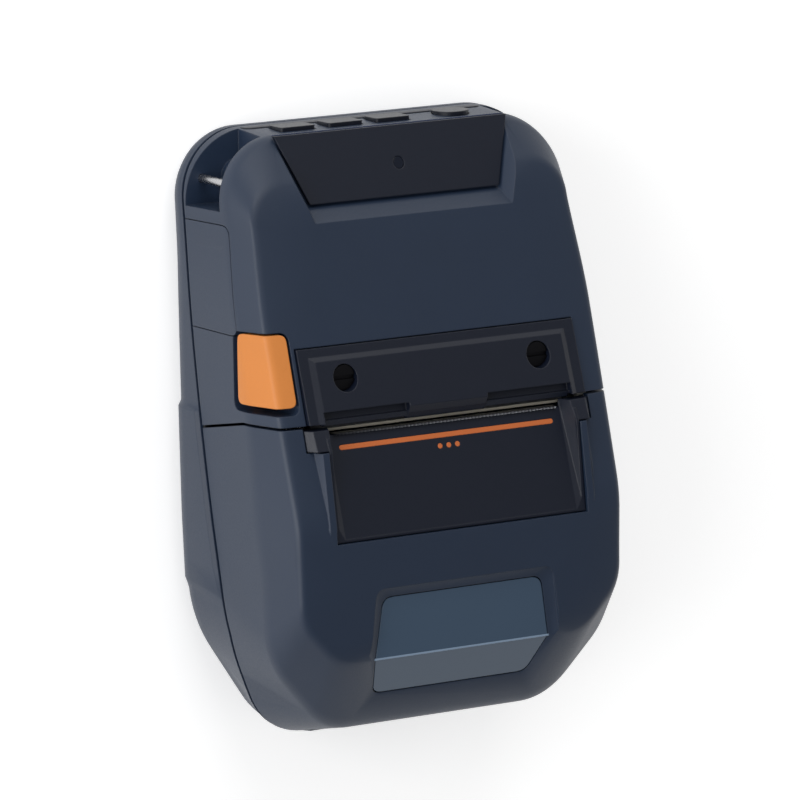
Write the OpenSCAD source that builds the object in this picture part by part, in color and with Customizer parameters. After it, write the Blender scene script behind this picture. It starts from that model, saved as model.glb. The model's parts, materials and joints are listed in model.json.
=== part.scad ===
// Mobile printer for 80 mm rolls, lying on its back.
// X is the width, Y the length with the key end at +Y, Z the thickness with the paper exit facing up.

/* [Body] */
// Half width of the body at the seam
half_w = 58.4; // [56:0.1:64]
// Distance from the middle to the key end
top_y = 89.2; // [86:0.2:100]
// Distance from the middle to the hinge end
end_y = 89.8; // [88:0.2:100]
// Height of the flat face above the back
face_h = 67.5; // [66:0.1:74]
// Fall of the upper face for each mm toward the key end
face_fall = 0.2965; // [0.2:0.005:0.32]
// Half width of the face at its crease
face_w = 54.2; // [51:0.1:56]
// Wall thickness of the mouldings
wall = 2.2; // [1.8:0.1:2.6]
// Plan radius of the key end corners
corner_r = 20; // [16:0.5:22]
// Steps in each rounded corner of the mouldings
corner_steps = 8; // [4:1:12]

/* [Seam] */
// Height of the gap between the two halves of the body
seam_gap = 1.5; // [1.2:0.1:2]
// Depth of the seal below the outer surface
seal_in = 0.9; // [0.6:0.1:1.4]
// Gap between the front casing and the roll cover
split_gap = 0.8; // [0.6:0.1:1.2]

/* [Paper path] */
// Platen roller radius
platen_r = 5.6; // [5:0.1:6]
// Platen roller half length
platen_len = 40.5; // [38:0.5:41]
// Platen shaft radius
shaft_r = 2; // [1.8:0.1:2.4]
// Height of the platen axis
platen_z = 50; // [49:0.1:50.5]
// Position of the platen axis along the body
platen_y = 0.5; // [0:0.1:1]
// Half width of the insert in the roll cover
insert_w = 41.6; // [41:0.1:42.2]
// Half length of the tear bar
tear_len = 37.2; // [35:0.1:38]
// Pitch of the teeth on the tear bar
tear_pitch = 1.2; // [1:0.1:2]

/* [Keys] */
// Width of the three rectangular keys
key_w = 11.4; // [9:0.1:13]
// Height of the three rectangular keys
key_h = 7.6; // [6:0.1:9]
// Pitch of the keys
key_pitch = 15.8; // [14:0.1:18]
// Radius of the power key
power_r = 5.4; // [4:0.1:6.4]
// Stroke of every key
key_stroke = 0.7; // [0.4:0.1:1]

/* [Release lever] */
// Length of the release lever along the body
lever_len = 20.2; // [17:0.1:21]
// Radius of the shaft that lifts the platen
lift_r = 2; // [1.6:0.1:2.4]

/* [Port door] */
// Length of the port door
door_len = 30.6; // [28:0.2:33]
// Thickness of the port door
door_t = 1.6; // [1.2:0.1:2]

/* [Strap bars] */
// Radius of the strap bars
bar_r = 1.25; // [1:0.05:1.6]

/* [Battery] */
// Length of the battery pack
pack_len = 62; // [56:0.5:64]
// Width of the battery pack
pack_w = 76; // [70:0.5:80]
// Thickness of the battery pack
pack_h = 19; // [16:0.5:19.5]

/* [Roll guides] */
// Radius of the roll guide plates
guide_r = 24; // [20:0.5:26]
// Stroke of each roll guide
guide_stroke = 24; // [16:0.5:25]

/* [Hidden] */

// Clearance between pieces that move past each other
gap = 0.3;

// Colours of the mouldings and metals
navy = [0.17, 0.20, 0.28];
slate = [0.26, 0.31, 0.38];
dark = [0.10, 0.12, 0.17];
black = [0.06, 0.06, 0.07];
orange = [0.87, 0.50, 0.18];
white = [0.85, 0.85, 0.82];
brass = [0.80, 0.68, 0.35];
board = [0.10, 0.32, 0.20];
steel = [0.70, 0.72, 0.75];
zinc = [0.55, 0.57, 0.60];

// Piecewise straight value of a table of pairs that runs from high to low
function table(t, v) = v >= t[0][0] ? t[0][1] : v <= t[len(t) - 1][0] ? t[len(t) - 1][1] :
    [for (i = [0:len(t) - 2]) if (v <= t[i][0] && v > t[i + 1][0])
        t[i + 1][1] + (t[i][1] - t[i + 1][1]) * (v - t[i + 1][0]) / (t[i][0] - t[i + 1][0])][0];

// Height of the seam, of the side crease and of the face crease at a place along the body
seam_t = [[top_y, 9.5], [61, 12.6], [35, 15.4], [3, 20], [-38, 27.3], [-55, 30]];
side_t = [[top_y - 0.9, 28.8], [75, 32.2], [62, 34.7], [44, 39], [36, 41.5], [8.5, 47.2], [-20, 50.4],
    [-36, 53], [-59, 54], [-83, 51]];
face_kink = -19.5;
function seam_z(y) = table(seam_t, y);
function side_z(y) = table(side_t, y) + face_h - 67.5;
function face_z(y) = y > face_kink ? face_h - face_fall * (y - face_kink) :
    y < -59 ? face_h - 0.6 : face_h;

// Rounded turn between two straight stretches, and an outline with every corner turned
function unit(v) = v / norm(v);
function turn(a, c, b, n) = [for (i = [0:n]) let (t = i / n)
    (1 - t) * (1 - t) * a + 2 * t * (1 - t) * c + t * t * b];
function rounded(p, r, n = 4) = [for (i = [0:len(p) - 1])
    let (a = p[(i + len(p) - 1) % len(p)], b = p[i], c = p[(i + 1) % len(p)])
        each turn(b + r * unit(a - b), b, b + r * unit(c - b), n)];

// Half outline of the body in plan, from the key end round to the hinge end.
// w holds the half width at four places, c1 and c2 are the ends of the cut corner.
function half_plan(w, yt, rt, stations, c1, c2, f1, f2) = concat(
    [for (i = [0:corner_steps]) let (a = 90 - 90 * i / corner_steps)
        [w[0] - rt + rt * cos(a), yt - rt + rt * sin(a)]],
    [for (i = [0:len(stations) - 1]) let (y = min(stations[i], yt - rt - 0.5 * (i + 1)))
        [table([[64, w[0]], [35, w[1]], [-20, w[2]], [-36, w[3]]], y), y]],
    turn(c1 + f1 * unit([w[3], -36] - c1), c1, c1 + f1 * unit(c2 - c1), 4),
    turn(c2 + f2 * unit(c1 - c2), c2, c2 - [f2, 0], 4));
stations = [67, 61, 48, 35, 10.5, 9, 3, -12, -19.5, -36];

// Closed ring of 3-D points from a half outline and its heights
function ring(h, z) = concat([for (i = [0:len(h) - 1]) [h[i][0], h[i][1], z[i]]],
    [for (i = [len(h) - 1:-1:0]) [-h[i][0], h[i][1], z[i]]]);
function mix(a, b, t) = [for (i = [0:len(a) - 1]) a[i] * (1 - t) + b[i] * t];

// Rings of a rounded crease at b, from the share u of the way to a to the share v of the way to c
crease_steps = 3;
function crease(a, b, c, u, v) = let (p = mix(b, a, u), q = mix(b, c, v))
    [for (i = [0:crease_steps]) let (t = i / crease_steps) mix(mix(p, b, t), mix(b, q, t), t)];

// Outlines at the seam, the side crease, the face crease and the crown, moved inward by t
function plan_seam(t) = half_plan([half_w - t, half_w + 0.2 - t, half_w - 0.1 - t, half_w - 0.5 - t],
    top_y - t, corner_r - t * 0.8, stations,
    [half_w - 1.2 - t, -55.8], [45.9 - t * 0.6, -end_y + 3.3 + t], 12, 14);
function plan_side(t) = half_plan(
    [half_w - 2.3 - t, half_w - 0.5 - t, half_w - 0.7 - t, half_w - 1.2 - t],
    top_y - 0.9 - t, corner_r - t * 0.8, stations,
    [half_w - 1.2 - t, -60], [37.5 - t * 0.6, -end_y + 7.6 + t], 9, 9);
function plan_face(t) = half_plan([face_w - 1.7 - t, face_w - t, face_w - 0.2 - t, face_w - 0.6 - t],
    top_y - 13.2 - t, 11, [64, 60, 48, 35, 10.5, 9, 3, -12, -19.5, -36],
    [face_w - 0.8 - t, -46], [41 - t * 0.6, -end_y + 29.9 + t], 6, 6);
function plan_crown(t) = half_plan([face_w - 14 - t, face_w - 12 - t, face_w - 12 - t, face_w - 12 - t],
    top_y - 19.2 - t, 8, [60, 56, 48, 35, 10.5, 9, 3, -12, -19.5, -36],
    [face_w - 12.5 - t, -44], [34 - t * 0.6, -end_y + 33.9 + t], 4, 4);

function ring_seam(t, dz) = let (h = plan_seam(t)) ring(h, [for (p = h) seam_z(p[1]) + dz]);
function ring_side(t) = let (h = plan_side(t)) ring(h, [for (p = h) side_z(p[1]) - t * 0.5]);
function ring_face(t) = let (h = plan_face(t)) ring(h, [for (p = h) face_z(p[1]) - t * 0.9]);
function ring_crown(t) = let (h = plan_crown(t)) ring(h, [for (p = h) face_z(p[1]) + 1.3 - t]);

// Solid between rings that lie one above the other, its ends closed straight across
module loft(rings) {
    n = len(rings[0]);
    m = n / 2;
    pts = [for (r = rings) for (p = r) p];
    top = (len(rings) - 1) * n;
    polyhedron(points = pts, faces = concat(
        [for (k = [0:len(rings) - 2]) for (i = [0:n - 1]) let (j = (i + 1) % n)
            each [[k * n + i, k * n + j, (k + 1) * n + j], [k * n + i, (k + 1) * n + j, (k + 1) * n + i]]],
        [for (i = [0:m - 2]) each [[i, n - 1 - i, n - 2 - i], [i, n - 2 - i, i + 1]]],
        [for (i = [0:m - 2]) each [[top + i, top + i + 1, top + n - 2 - i],
            [top + i, top + n - 2 - i, top + n - 1 - i]]]));
}

// Front half of the body: outer form and the hollow inside it
module front_outer() {
    a = ring_seam(0, seam_gap / 2);
    b = ring_side(0);
    c = ring_face(0);
    d = ring_crown(0);
    loft(concat([a], crease(a, b, c, 0.1, 0.16), crease(b, c, d, 0.13, 0.16), [d]));
}
module front_inner() {
    loft([ring_seam(wall, -6), ring_side(wall), ring_face(wall), ring_crown(wall)]);
}

// Rear half: the back edges are rounded up to the height of their round
back_r = 11;
back_in = 9;
pad_t = 1.1;
function back_z(y) = min(back_r, seam_z(y) - 2.4);
function bulge(y) = y < 9.5 && y > -44 ? pad_t : 0;
function plan_rear(t) = half_plan([half_w - t, half_w + 0.1 - t, half_w - 0.1 - t, half_w - 0.5 - t],
    top_y - t, corner_r - t * 0.8, stations,
    [half_w - 1.1 - t, -54], [34.5 - t * 0.5, -end_y + t], 12, 12);
function padded(h, k) = [for (p = h) [p[0] + bulge(p[1]) * k, p[1]]];
function ring_back(a) = let (h = plan_rear(back_in * (1 - cos(a))))
    ring(padded(h, cos(a)), [for (p = h) back_z(p[1]) * (1 - sin(a))]);
module rear_outer() {
    h = mix(plan_rear(0.1), plan_seam(0.1), 0.88);
    loft([ring_back(90), ring_back(62), ring_back(38), ring_back(16), ring_back(0),
        ring(padded(h, 1), [for (p = h) seam_z(p[1]) - 1.8]), ring_seam(0.1, -seam_gap / 2)]);
}
module rear_inner() {
    h = plan_rear(back_in + wall - 1);
    g = plan_rear(wall + 1);
    loft([ring(h, [for (p = h) wall + 0.1]),
        ring(g, [for (p = g) max(back_z(p[1]) - 0.5, wall + 2)]), ring_seam(wall + 0.4, 4)]);
}

// Profile in Y and Z drawn out between two places in X, and a pair of mirrored pieces
module side_prism(pts, x0, x1) {
    translate([x0, 0, 0]) rotate([90, 0, 90]) linear_extrude(x1 - x0) polygon(pts);
}
module both() {
    children();
    mirror([1, 0, 0]) children();
}
module across(x, y, z, h, r, n = 32) {
    translate([x, y, z]) rotate([0, 90, 0]) cylinder(h = h, r = r, $fn = n);
}

// Space on one side of the split: way -1 is the hinge side, 1 the key side, moved by d along the body
module beyond_split(way, d) {
    side_prism([[way * 120, -5], [4.6 + d, -5], [4.6 + d, 20], [8.9 + d, 44], [8.9 + d, 90], [way * 120, 90]],
        -70, 70);
}

// Battery bay, hinge and strap bar places
bay_x = pack_w / 2 + gap;
bay_a = 9;
bay_b = bay_a + pack_len + 2 * gap;
bay_wall = 1.6;
bay_top = pack_h + 1;
floor_z = bay_top + 1.9;
hinge_y = -end_y + 7;
hinge_z = 23.5;
hinge_r = 4.4;
hinge_w = 33.8;
pin_r = 1.5;
bar_x = 52.6;
bar_y = 75.6;
bar_top = 31.2;
screw_at = [[-47.5, 62], [47.5, 62], [-47.5, 33.5], [47.5, 33.5]];
stand_at = [[-36, 40], [36, 40], [-36, 69], [36, 69]];
foot_at = [37, 27];

// What stands inside the hollow of the rear casing
module rear_blocks() {
    // bearing blocks of the hinge pin
    both() translate([hinge_w + gap, hinge_y - 6, 0]) cube([4.6, 12, hinge_z + 3.2]);
    // lugs under the strap bars
    both() translate([48.5, 72.2, 0]) cube([9, 6.8, 9.2]);
    // guides of the battery catch
    both() translate([8.3, bay_b, 0]) cube([1.6, 9, 6.7]);
    both() translate([7, bay_b, 5.9]) cube([2, 9, 0.8]);
    // rest of the catch spring
    translate([-3, bay_b + 7.3, 0]) cube([6, 3, 6]);
}
module rear_casing() {
    color(slate) difference() {
        union() {
            difference() {
                rear_outer();
                difference() {
                    rear_inner();
                    rear_blocks();
                }
            }
            // walls and floor of the battery bay
            translate([-bay_x - bay_wall, bay_a - bay_wall, 1])
                cube([2 * (bay_x + bay_wall), bay_b - bay_a + 2 * bay_wall, floor_z - 1]);
            // posts of the casing screws
            for (p = screw_at) translate([p[0], p[1], 1])
                cylinder(h = seam_z(p[1]) + seam_gap / 2 - 1, r = 3.2, $fn = 32);
            // posts of the main board
            for (p = stand_at) translate([p[0], p[1], floor_z - 0.5]) cylinder(h = 2, r = 2.6, $fn = 24);
        }
        // battery bay, open at the back
        translate([-bay_x, bay_a, -1]) cube([2 * bay_x, bay_b - bay_a, bay_top + 1]);
        // window in the floor of the bay for the contacts
        translate([-12, bay_b - 8, bay_top - 1]) cube([24, 4, 6]);
        // way of the battery catch through the wall and the back
        translate([-8.3, bay_b - 1, 2.3]) cube([16.6, 3, 3.6]);
        translate([-5.8, bay_b + 2, -1]) cube([11.6, 4.9, 3.5]);
        // room for the hinge barrel of the cover
        translate([-hinge_w - gap, -end_y - 3, hinge_z - 5.3]) cube([2 * (hinge_w + gap), 12, 20]);
        across(-hinge_w - gap, hinge_y, hinge_z, 2 * (hinge_w + gap), hinge_r + 0.5, 40);
        across(-38.7, hinge_y, hinge_z, 77.4, pin_r + 0.02);
        // seats of the strap bars
        both() translate([bar_x, bar_y, 5.4]) cylinder(h = 20, r = bar_r + 0.02, $fn = 32);
        // casing screws: bore and sunk head
        for (p = screw_at) translate([p[0], p[1], -1]) {
            cylinder(h = 40, r = 1.6, $fn = 24);
            cylinder(h = 3.8, r = 3.05, $fn = 32);
        }
        // bores for the board and frame screws
        for (p = stand_at) translate([p[0], p[1], floor_z]) cylinder(h = 4, r = 1.12, $fn = 24);
        both() translate([foot_at[0], foot_at[1], bay_top + 0.5]) cylinder(h = 4, r = 1.32, $fn = 24);
    }
}

// Places on the front casing
key_z = 21;
lever_y = 19;
lever_z = 44;
lever_a = 14.6;
door_y = 49;
well_z = 20.6;
bezel_x = 32.2;
bezel_y = 21.5;
boss_h = 9;

module strap_pocket(d) {
    intersection() {
        linear_extrude(50) polygon(concat([[-60.5 - d, 68.2 - d], [-46.4 + d, 68.2 - d]],
            turn([-46.4 + d, 74.5], [-46.4 + d, 80.6 - d], [-40.4 + d, 80.6 - d], 4),
            [[-40.4 + d, 94 + d], [-60.5 - d, 94 + d]]));
        side_prism([[60, 13.2 - d], [98, 13.2 - d], [98, 24.4 + d], [60, 32 + d]], -64, -38);
    }
}
// What stands inside the hollow of the front casing
module front_blocks() {
    // walls round the strap pockets
    both() strap_pocket(1.6);
    // floor under the control panel
    side_prism([[61, 44.6], [66.2, 35.4], [top_y - 0.6, 27.4], [top_y - 0.6, 40], [61, 60]], -42, 42);
    // walls of the lever pocket
    translate([-62, 11.2, 37]) cube([16.6, 26.4, 30.5]);
    // seats of the bezel screws
    both() translate([bezel_x, bezel_y, 44]) cylinder(h = 20, r = 4.4, $fn = 32);
    // wall behind the port door and the well of the port
    translate([-61.3, 30.9, 4]) cube([8.8, 34.9, 38.9]);
    translate([-60.7, 38.2, well_z - 1.8]) cube([12.8, 21.6, 15.6]);
    // bosses of the casing screws, each with a rib to the side wall
    for (p = screw_at) translate([p[0], p[1], seam_z(p[1]) + seam_gap / 2]) {
        cylinder(h = boss_h, r = 3.2, $fn = 32);
        translate([p[0] > 0 ? 0 : -11, -1, 0]) cube([11, 2, boss_h]);
    }
    // lugs of the key board
    both() translate([33.9, top_y - 7.4, 14]) cube([3.4, 9, 12]);
}
// Space with rounded corners that opens sideways and upward
module lever_space(a, b, x, z, r) {
    intersection() {
        side_prism(concat([[b, 79], [a, 79]], turn([a, z + r], [a, z], [a + r, z], 4),
            turn([b - r, z], [b, z], [b, z + r], 4)), -62.6, x);
        translate([0, 0, z - 1]) linear_extrude(79 - z) polygon(concat([[-64, b], [-64, a]],
            turn([x - r, a], [x, a], [x, a + r], 4), turn([x, b - r], [x, b], [x - r, b], 4)));
    }
}
module front_casing() {
    color(navy) difference() {
        front_outer();
        difference() {
            front_inner();
            front_blocks();
        }
        beyond_split(-1, split_gap / 2);
        panel_pocket();
        // opening behind the bezel and the step of its rim
        translate([-43.5, 5, 40]) cube([87, 22.4, 40]);
        side_prism([[5, face_z(5) + 0.1], [30.6, face_z(30.6) + 0.1], [30.6, 80], [5, 80]], -46.3, 46.3);
        both() translate([bezel_x, bezel_y, 43]) cylinder(h = 20, r = 1.47, $fn = 24);
        // lever pocket with the lug of the lever pin left standing
        difference() {
            lever_space(lever_a - 2.2, lever_a + lever_len + 0.6, -47.4, 39, 3);
            translate([-54.4, lever_y - 2.2, 38]) cube([2, 4.4, lever_z - 38 + 2]);
        }
        translate([-52.1, 12.6, 36]) cube([4.7, 8.6, 4]);
        across(-58, lever_y, lever_z, 14, pin_r + 0.02);
        // strap pockets and the upper seats of the bars
        both() strap_pocket(0);
        both() translate([bar_x, bar_y, 8]) cylinder(h = bar_top + 0.2 - 8, r = bar_r + 0.02, $fn = 32);
        // key openings
        for (i = [0:2]) translate([key_xs[i] - key_w / 2 - 0.25, top_y - 8, key_z - key_h / 2 - 0.25])
            cube([key_w + 0.5, 12, key_h + 0.5]);
        translate([key_xs[3], top_y + 4, key_z]) rotate([90, 0, 0])
            cylinder(h = 12, r = power_r + 0.25, $fn = 48);
        // port door recess, the well behind it and the way of the connector
        door_space(-0.25, 0.3);
        translate([-59.4, 40, well_z]) cube([9.7, 18, 12]);
        translate([-50, door_y - 4.8, 24.9]) cube([4, 9.6, 3.7]);
        // bores of the casing screws
        for (p = screw_at) translate([p[0], p[1], 0]) cylinder(h = seam_z(p[1]) + 8, r = 1.42, $fn = 24);
    }
}

// Sloped pocket of the control panel
panel_a = [63.3, 45.4];
panel_b = [68.5, 37.4];
panel_c = [top_y - 0.6, 29.6];
panel_slope = 0.5;
function panel_half(z) = [for (q = [[96, 26.8, 41.6], [89, 29.6, 39.3], [68.5, 37.4, 31.8], [63, 45.4, 33]])
    [q[2] + panel_slope * (z - q[1]), q[0]]];
module panel_pocket() {
    intersection() {
        side_prism([panel_a, panel_b, panel_c, [top_y + 5, 26], [top_y + 5, 70], [panel_a[0], 70]], -60, 60);
        loft([for (z = [22, 62]) let (h = panel_half(z)) ring(h, [for (p = h) z])]);
    }
}
module control_panel() {
    color(dark) difference() {
        intersection() {
            side_prism([[68.9, 37.4], [panel_c[0] - 0.2, 29.8], [panel_c[0] - 0.2, 31.2], [68.9, 38.8]],
                -60, 60);
            translate([0, 0, 20]) linear_extrude(60) polygon([[-31.5, 68.9], [31.5, 68.9], [38.9, 88.7],
                [38.9, 96], [-38.9, 96], [-38.9, 88.7]]);
        }
        translate([0, 78, 25]) cylinder(h = 20, r = 1.8, $fn = 32);
    }
}
module indicator_lens() {
    color([0.55, 0.60, 0.66]) translate([0, 78, 0]) intersection() {
        translate([0, 0, 30]) cylinder(h = 8, r = 1.77, $fn = 32);
        side_prism([[-5, 35.62], [5, 31.84], [5, 33.2], [-5, 36.98]], -5, 5);
    }
}

module body_seal() {
    color(black) difference() {
        loft([ring_seam(seal_in, -seam_gap / 2 + 0.02), ring_seam(seal_in, seam_gap / 2 - 0.35)]);
        loft([ring_seam(seal_in + 1.6, -seam_gap), ring_seam(seal_in + 1.6, seam_gap)]);
        translate([-hinge_w - 2.5, -end_y - 3, 10]) cube([2 * hinge_w + 5, 12, 30]);
    }
}

// Bezel over the front of the paper exit
rim_w = 46;
module exit_bezel() {
    color(dark) difference() {
        union() {
            // rim on the step of the casing
            side_prism([[9.5, face_z(9.5) + 0.15], [30.3, face_z(30.3) + 0.15],
                [30.3, face_z(30.3) + 1.6], [9.5, face_z(9.5) + 2.5]], -rim_w, rim_w);
            // raised plate with sloped sides
            hull() {
                side_prism([[9.5, face_z(9.5) + 2], [28, face_z(28) + 1.4],
                    [28, face_z(28) + 1.6], [9.5, face_z(9.5) + 2.5]], -43, 43);
                side_prism([[9.5, face_z(9.5) + 2], [26.6, face_z(26.6) + 1.6],
                    [26.6, face_z(26.6) + 2.5], [9.5, face_z(9.5) + 3.4]], -41, 41);
            }
            // body that reaches into the opening
            side_prism([[9.6, 55.9], [9.6, 60], [26.8, face_z(26.8) + 1], [26.8, 53.4], [24, 53.4],
                [24, 52.8], [20, 53.6], [14, 56.6]], -43.2, 43.2);
        }
        // stepped lip below the plate, deepest beside the middle
        both() side_prism([[5, 40], [8.6, 58.4], [8.6, 59.5], [10.3, 60.1], [10.3, 59.2], [12.8, 58.6],
            [12.8, 66], [5, 66]], 13, insert_w - 0.4);
        side_prism([[5, 40], [7.9, 57.6], [7.9, 59], [9.8, 60.4], [12.8, 62], [12.8, 66], [5, 66]], -13.01, 13.01);
        // recesses and bores of the coin screws
        both() translate([bezel_x, bezel_y, 0]) {
            translate([0, 0, 55.4]) cylinder(h = 10, r = 3.9, $fn = 40);
            translate([0, 0, 40]) cylinder(h = 30, r = 1.6, $fn = 24);
        }
    }
    // lips that the steps leave standing over the opening
    color(dark) {
        both() side_prism([[8.6, 58.4], [8.6, 59.5], [10.2, 60.05], [10.2, 57.4]], 13, insert_w - 0.6);
        side_prism([[7.9, 57.6], [7.9, 59], [9.8, 60.35], [10.2, 60.5], [10.2, 56.8]], -13.01, 13.01);
    }
}
module bezel_screws() {
    color(zinc) both() translate([bezel_x, bezel_y, 0]) difference() {
        union() {
            translate([0, 0, 55.4]) cylinder(h = 1.5, r = 3.6, $fn = 40);
            translate([0, 0, 46]) cylinder(h = 9.5, r = 1.45, $fn = 24);
        }
        translate([-4, -0.6, 56.1]) cube([8, 1.2, 2]);
    }
}

module strap_bars() {
    color(steel) both() translate([bar_x, bar_y, 5.6]) cylinder(h = bar_top - 5.6, r = bar_r, $fn = 32);
}
module casing_screws() {
    color(zinc) for (p = screw_at) translate([p[0], p[1], 0]) difference() {
        union() {
            translate([0, 0, 1]) cylinder(h = 1.8, r = 2.8, $fn = 32);
            translate([0, 0, 2]) cylinder(h = seam_z(p[1]) + 5, r = 1.4, $fn = 20);
        }
        translate([0, 0, 0.2]) cylinder(h = 1.9, r = 1.3, $fn = 6);
    }
}

// Print mechanism: side plates that carry the platen, the head and the gear train
plate_x = 43.4;
plate_t = 1.5;
lift_y = 12.5;
lift_z = 29.5;
open_a = atan((platen_z - hinge_z) / (platen_y - hinge_y));
head_y = platen_y + platen_r + 0.05;
wall_y = 18.6;
module mechanism_frame() {
    color(steel) difference() {
        union() {
            both() side_prism([[8.2, floor_z], [31, floor_z], [31, 48.2], [25, 50.4], [12, 53.2], [-4.2, 53.2],
                [-4.2, 46], [2, 44.8], [7, 40], [8.2, 34]], plate_x, plate_x + plate_t);
            // cross wall behind the head, open at the motor
            difference() {
                translate([-plate_x - 0.2, wall_y, floor_z]) cube([2 * plate_x + 0.4, 1.2, 29.6]);
                translate([27.4, wall_y - 1, floor_z - 1]) cube([plate_x - 27.4, 4, 23]);
            }
            // feet on the floor of the battery bay
            both() translate([30, 20.7, floor_z]) cube([plate_x + 0.5 - 30, 12.4, 1.3]);
        }
        across(-50, lift_y, lift_z, 100, lift_r + 0.05, 40);
        // notches of the platen shaft, open the way the cover lifts
        both() across(40, platen_y, platen_z, 10, shaft_r + 0.08, 40);
        both() translate([40, platen_y, platen_z]) rotate([open_a, 0, 0])
            translate([0, -shaft_r - 0.25, 0]) cube([10, 2 * shaft_r + 0.5, 9]);
        across(40, idler_y, idler_z, 10, pin_r + 0.01);
        across(40, motor_y, motor_z, 10, 2.6);
        both() translate([foot_at[0], foot_at[1], 20]) cylinder(h = 6, r = 1.45, $fn = 24);
    }
}
module frame_screws() {
    color(zinc) both() translate([foot_at[0], foot_at[1], 0]) {
        translate([0, 0, floor_z + 1.3]) cylinder(h = 1.2, r = 2.4, $fn = 24);
        translate([0, 0, bay_top + 0.6]) cylinder(h = floor_z - bay_top + 1, r = 1.3, $fn = 20);
    }
}
module paper_guide() {
    color(black) side_prism([[7.5, floor_z], [7.5, 36], [6.5, 42.9], [7.7, 42.9], [8.9, 36], [8.9, floor_z]],
        -42.6, 42.6);
}
module paper_sensor() {
    color(black) translate([-6, 8.9, 32.4]) cube([12, 2.4, 4.6]);
}
module print_head() {
    color([0.83, 0.80, 0.74]) translate([-41, head_y, 43.5]) cube([82, 0.8, 11.3]);
    color(black) translate([-30, head_y + 0.79, 44]) cube([60, 1.1, 3]);
}
module head_heatsink() {
    color([0.75, 0.76, 0.78]) difference() {
        side_prism([[head_y + 0.85, 47.3], [head_y + 4.4, 47.3], [head_y + 4.4, 53.2], [head_y + 0.85, 54.8]],
            -42, 42);
        both() translate([20, head_y + 3.2, 49.8]) rotate([-90, 0, 0]) cylinder(h = 4, r = 2.9, $fn = 32);
    }
}

// Coil spring along Z with 8 rings to a turn
coil_rings = 8;
module spring(r, wire, length, turns) {
    n = turns * coil_rings;
    m = 6;
    pts = [for (i = [0:n]) let (a = 360 * i / coil_rings, z = length * i / n)
        for (k = [0:m - 1]) let (b = 360 * k / m)
            [(r + wire * cos(b)) * cos(a), (r + wire * cos(b)) * sin(a), z + wire * sin(b)]];
    echo("least gap between turns", length / turns - 2 * wire);
    polyhedron(points = pts, faces = concat(
        [[for (k = [m - 1:-1:0]) k]], [[for (k = [0:m - 1]) n * m + k]],
        [for (i = [0:n - 1]) for (k = [0:m - 1]) let (l = (k + 1) % m)
            each [[i * m + k, i * m + l, (i + 1) * m + l], [i * m + k, (i + 1) * m + l, (i + 1) * m + k]]]));
}
module head_springs() {
    color(steel) both() translate([20, head_y + 3.5, 49.8]) rotate([-90, 0, 0])
        spring(2, 0.3, wall_y - head_y - 3.8, 5);
}

// Gear train on the right side, all gears share one module
gear_m = 0.8;
z_platen = 18;
z_idler = 20;
z_motor = 10;
gear_x = 48.6;
function mesh(z1, z2) = gear_m * (z1 + z2) / 2 + 0.05;
idler_a = -40.5;
motor_a = -21.5;
idler_y = platen_y + mesh(z_platen, z_idler) * cos(idler_a);
idler_z = platen_z + mesh(z_platen, z_idler) * sin(idler_a);
motor_y = idler_y + mesh(z_idler, z_motor) * cos(motor_a);
motor_z = idler_z + mesh(z_idler, z_motor) * sin(motor_a);
// A tooth of the platen gear lies on the line of centres, where the idler has a gap
turn_platen = idler_a;
turn_idler = idler_a + 180 + 180 / z_idler;
turn_motor = motor_a + 180 + (0.5 + (motor_a - turn_idler) * z_idler / 360) * 360 / z_motor;
module gear(z, h, bore) {
    rp = gear_m * z / 2;
    ro = rp + gear_m * 0.85;
    ri = rp - gear_m * 1.15;
    difference() {
        linear_extrude(h) polygon([for (i = [0:z - 1]) for (q = [[ri, -0.36], [rp, -0.225], [ro, -0.1],
            [ro, 0.1], [rp, 0.225], [ri, 0.36]]) let (a = 360 * (i + q[1]) / z) q[0] * [cos(a), sin(a)]]);
        translate([0, 0, -1]) cylinder(h = h + 2, r = bore, $fn = 40);
    }
}
module platen_gear() {
    color(white) translate([gear_x, platen_y, platen_z]) rotate([90, 0, 90]) rotate([0, 0, turn_platen])
        gear(z_platen, 2.8, shaft_r);
}
module idler_gear() {
    color(white) translate([gear_x, idler_y, idler_z]) rotate([90, 0, 90]) rotate([0, 0, turn_idler])
        gear(z_idler, 2.6, pin_r + 0.02);
}
module motor_pinion() {
    color(brass) translate([gear_x - 0.2, motor_y, motor_z]) rotate([90, 0, 90]) rotate([0, 0, turn_motor])
        gear(z_motor, 3, 1.02);
}
module idler_pin() {
    color(steel) {
        across(plate_x, idler_y, idler_z, 8.7, pin_r);
        across(gear_x + 2.9, idler_y, idler_z, 0.6, 2.2);
    }
}
module drive_motor() {
    color(zinc) {
        across(28.3, motor_y, motor_z, plate_x - 28.3, 7.2, 48);
        across(plate_x - 0.1, motor_y, motor_z, gear_x + 2.6 - plate_x, 1, 24);
    }
}

module main_board() {
    color(board) difference() {
        translate([-40, 36.8, floor_z + 1.5]) cube([80, 41.6, 1.6]);
        for (p = stand_at) translate([p[0], p[1], floor_z]) cylinder(h = 5, r = 1.25, $fn = 24);
    }
    color(board) translate([-46, door_y - 6, floor_z + 1.5]) cube([6.5, 12, 1.6]);
    color(black) translate([0, 0, floor_z + 3]) {
        translate([-24, 46, 0]) cube([14, 14, 1.7]);
        translate([4, 44, 0]) cube([10, 10, 1.5]);
        translate([20, 58, 0]) cube([12, 8, 1.9]);
    }
    color(white) translate([-8, 70, floor_z + 3]) cube([20, 5, 4]);
}
module board_screws() {
    color(zinc) for (p = stand_at) translate([p[0], p[1], floor_z]) {
        translate([0, 0, 3.1]) cylinder(h = 1.2, r = 2.2, $fn = 24);
        translate([0, 0, 0.1]) cylinder(h = 3.1, r = 1.1, $fn = 20);
    }
}
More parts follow.
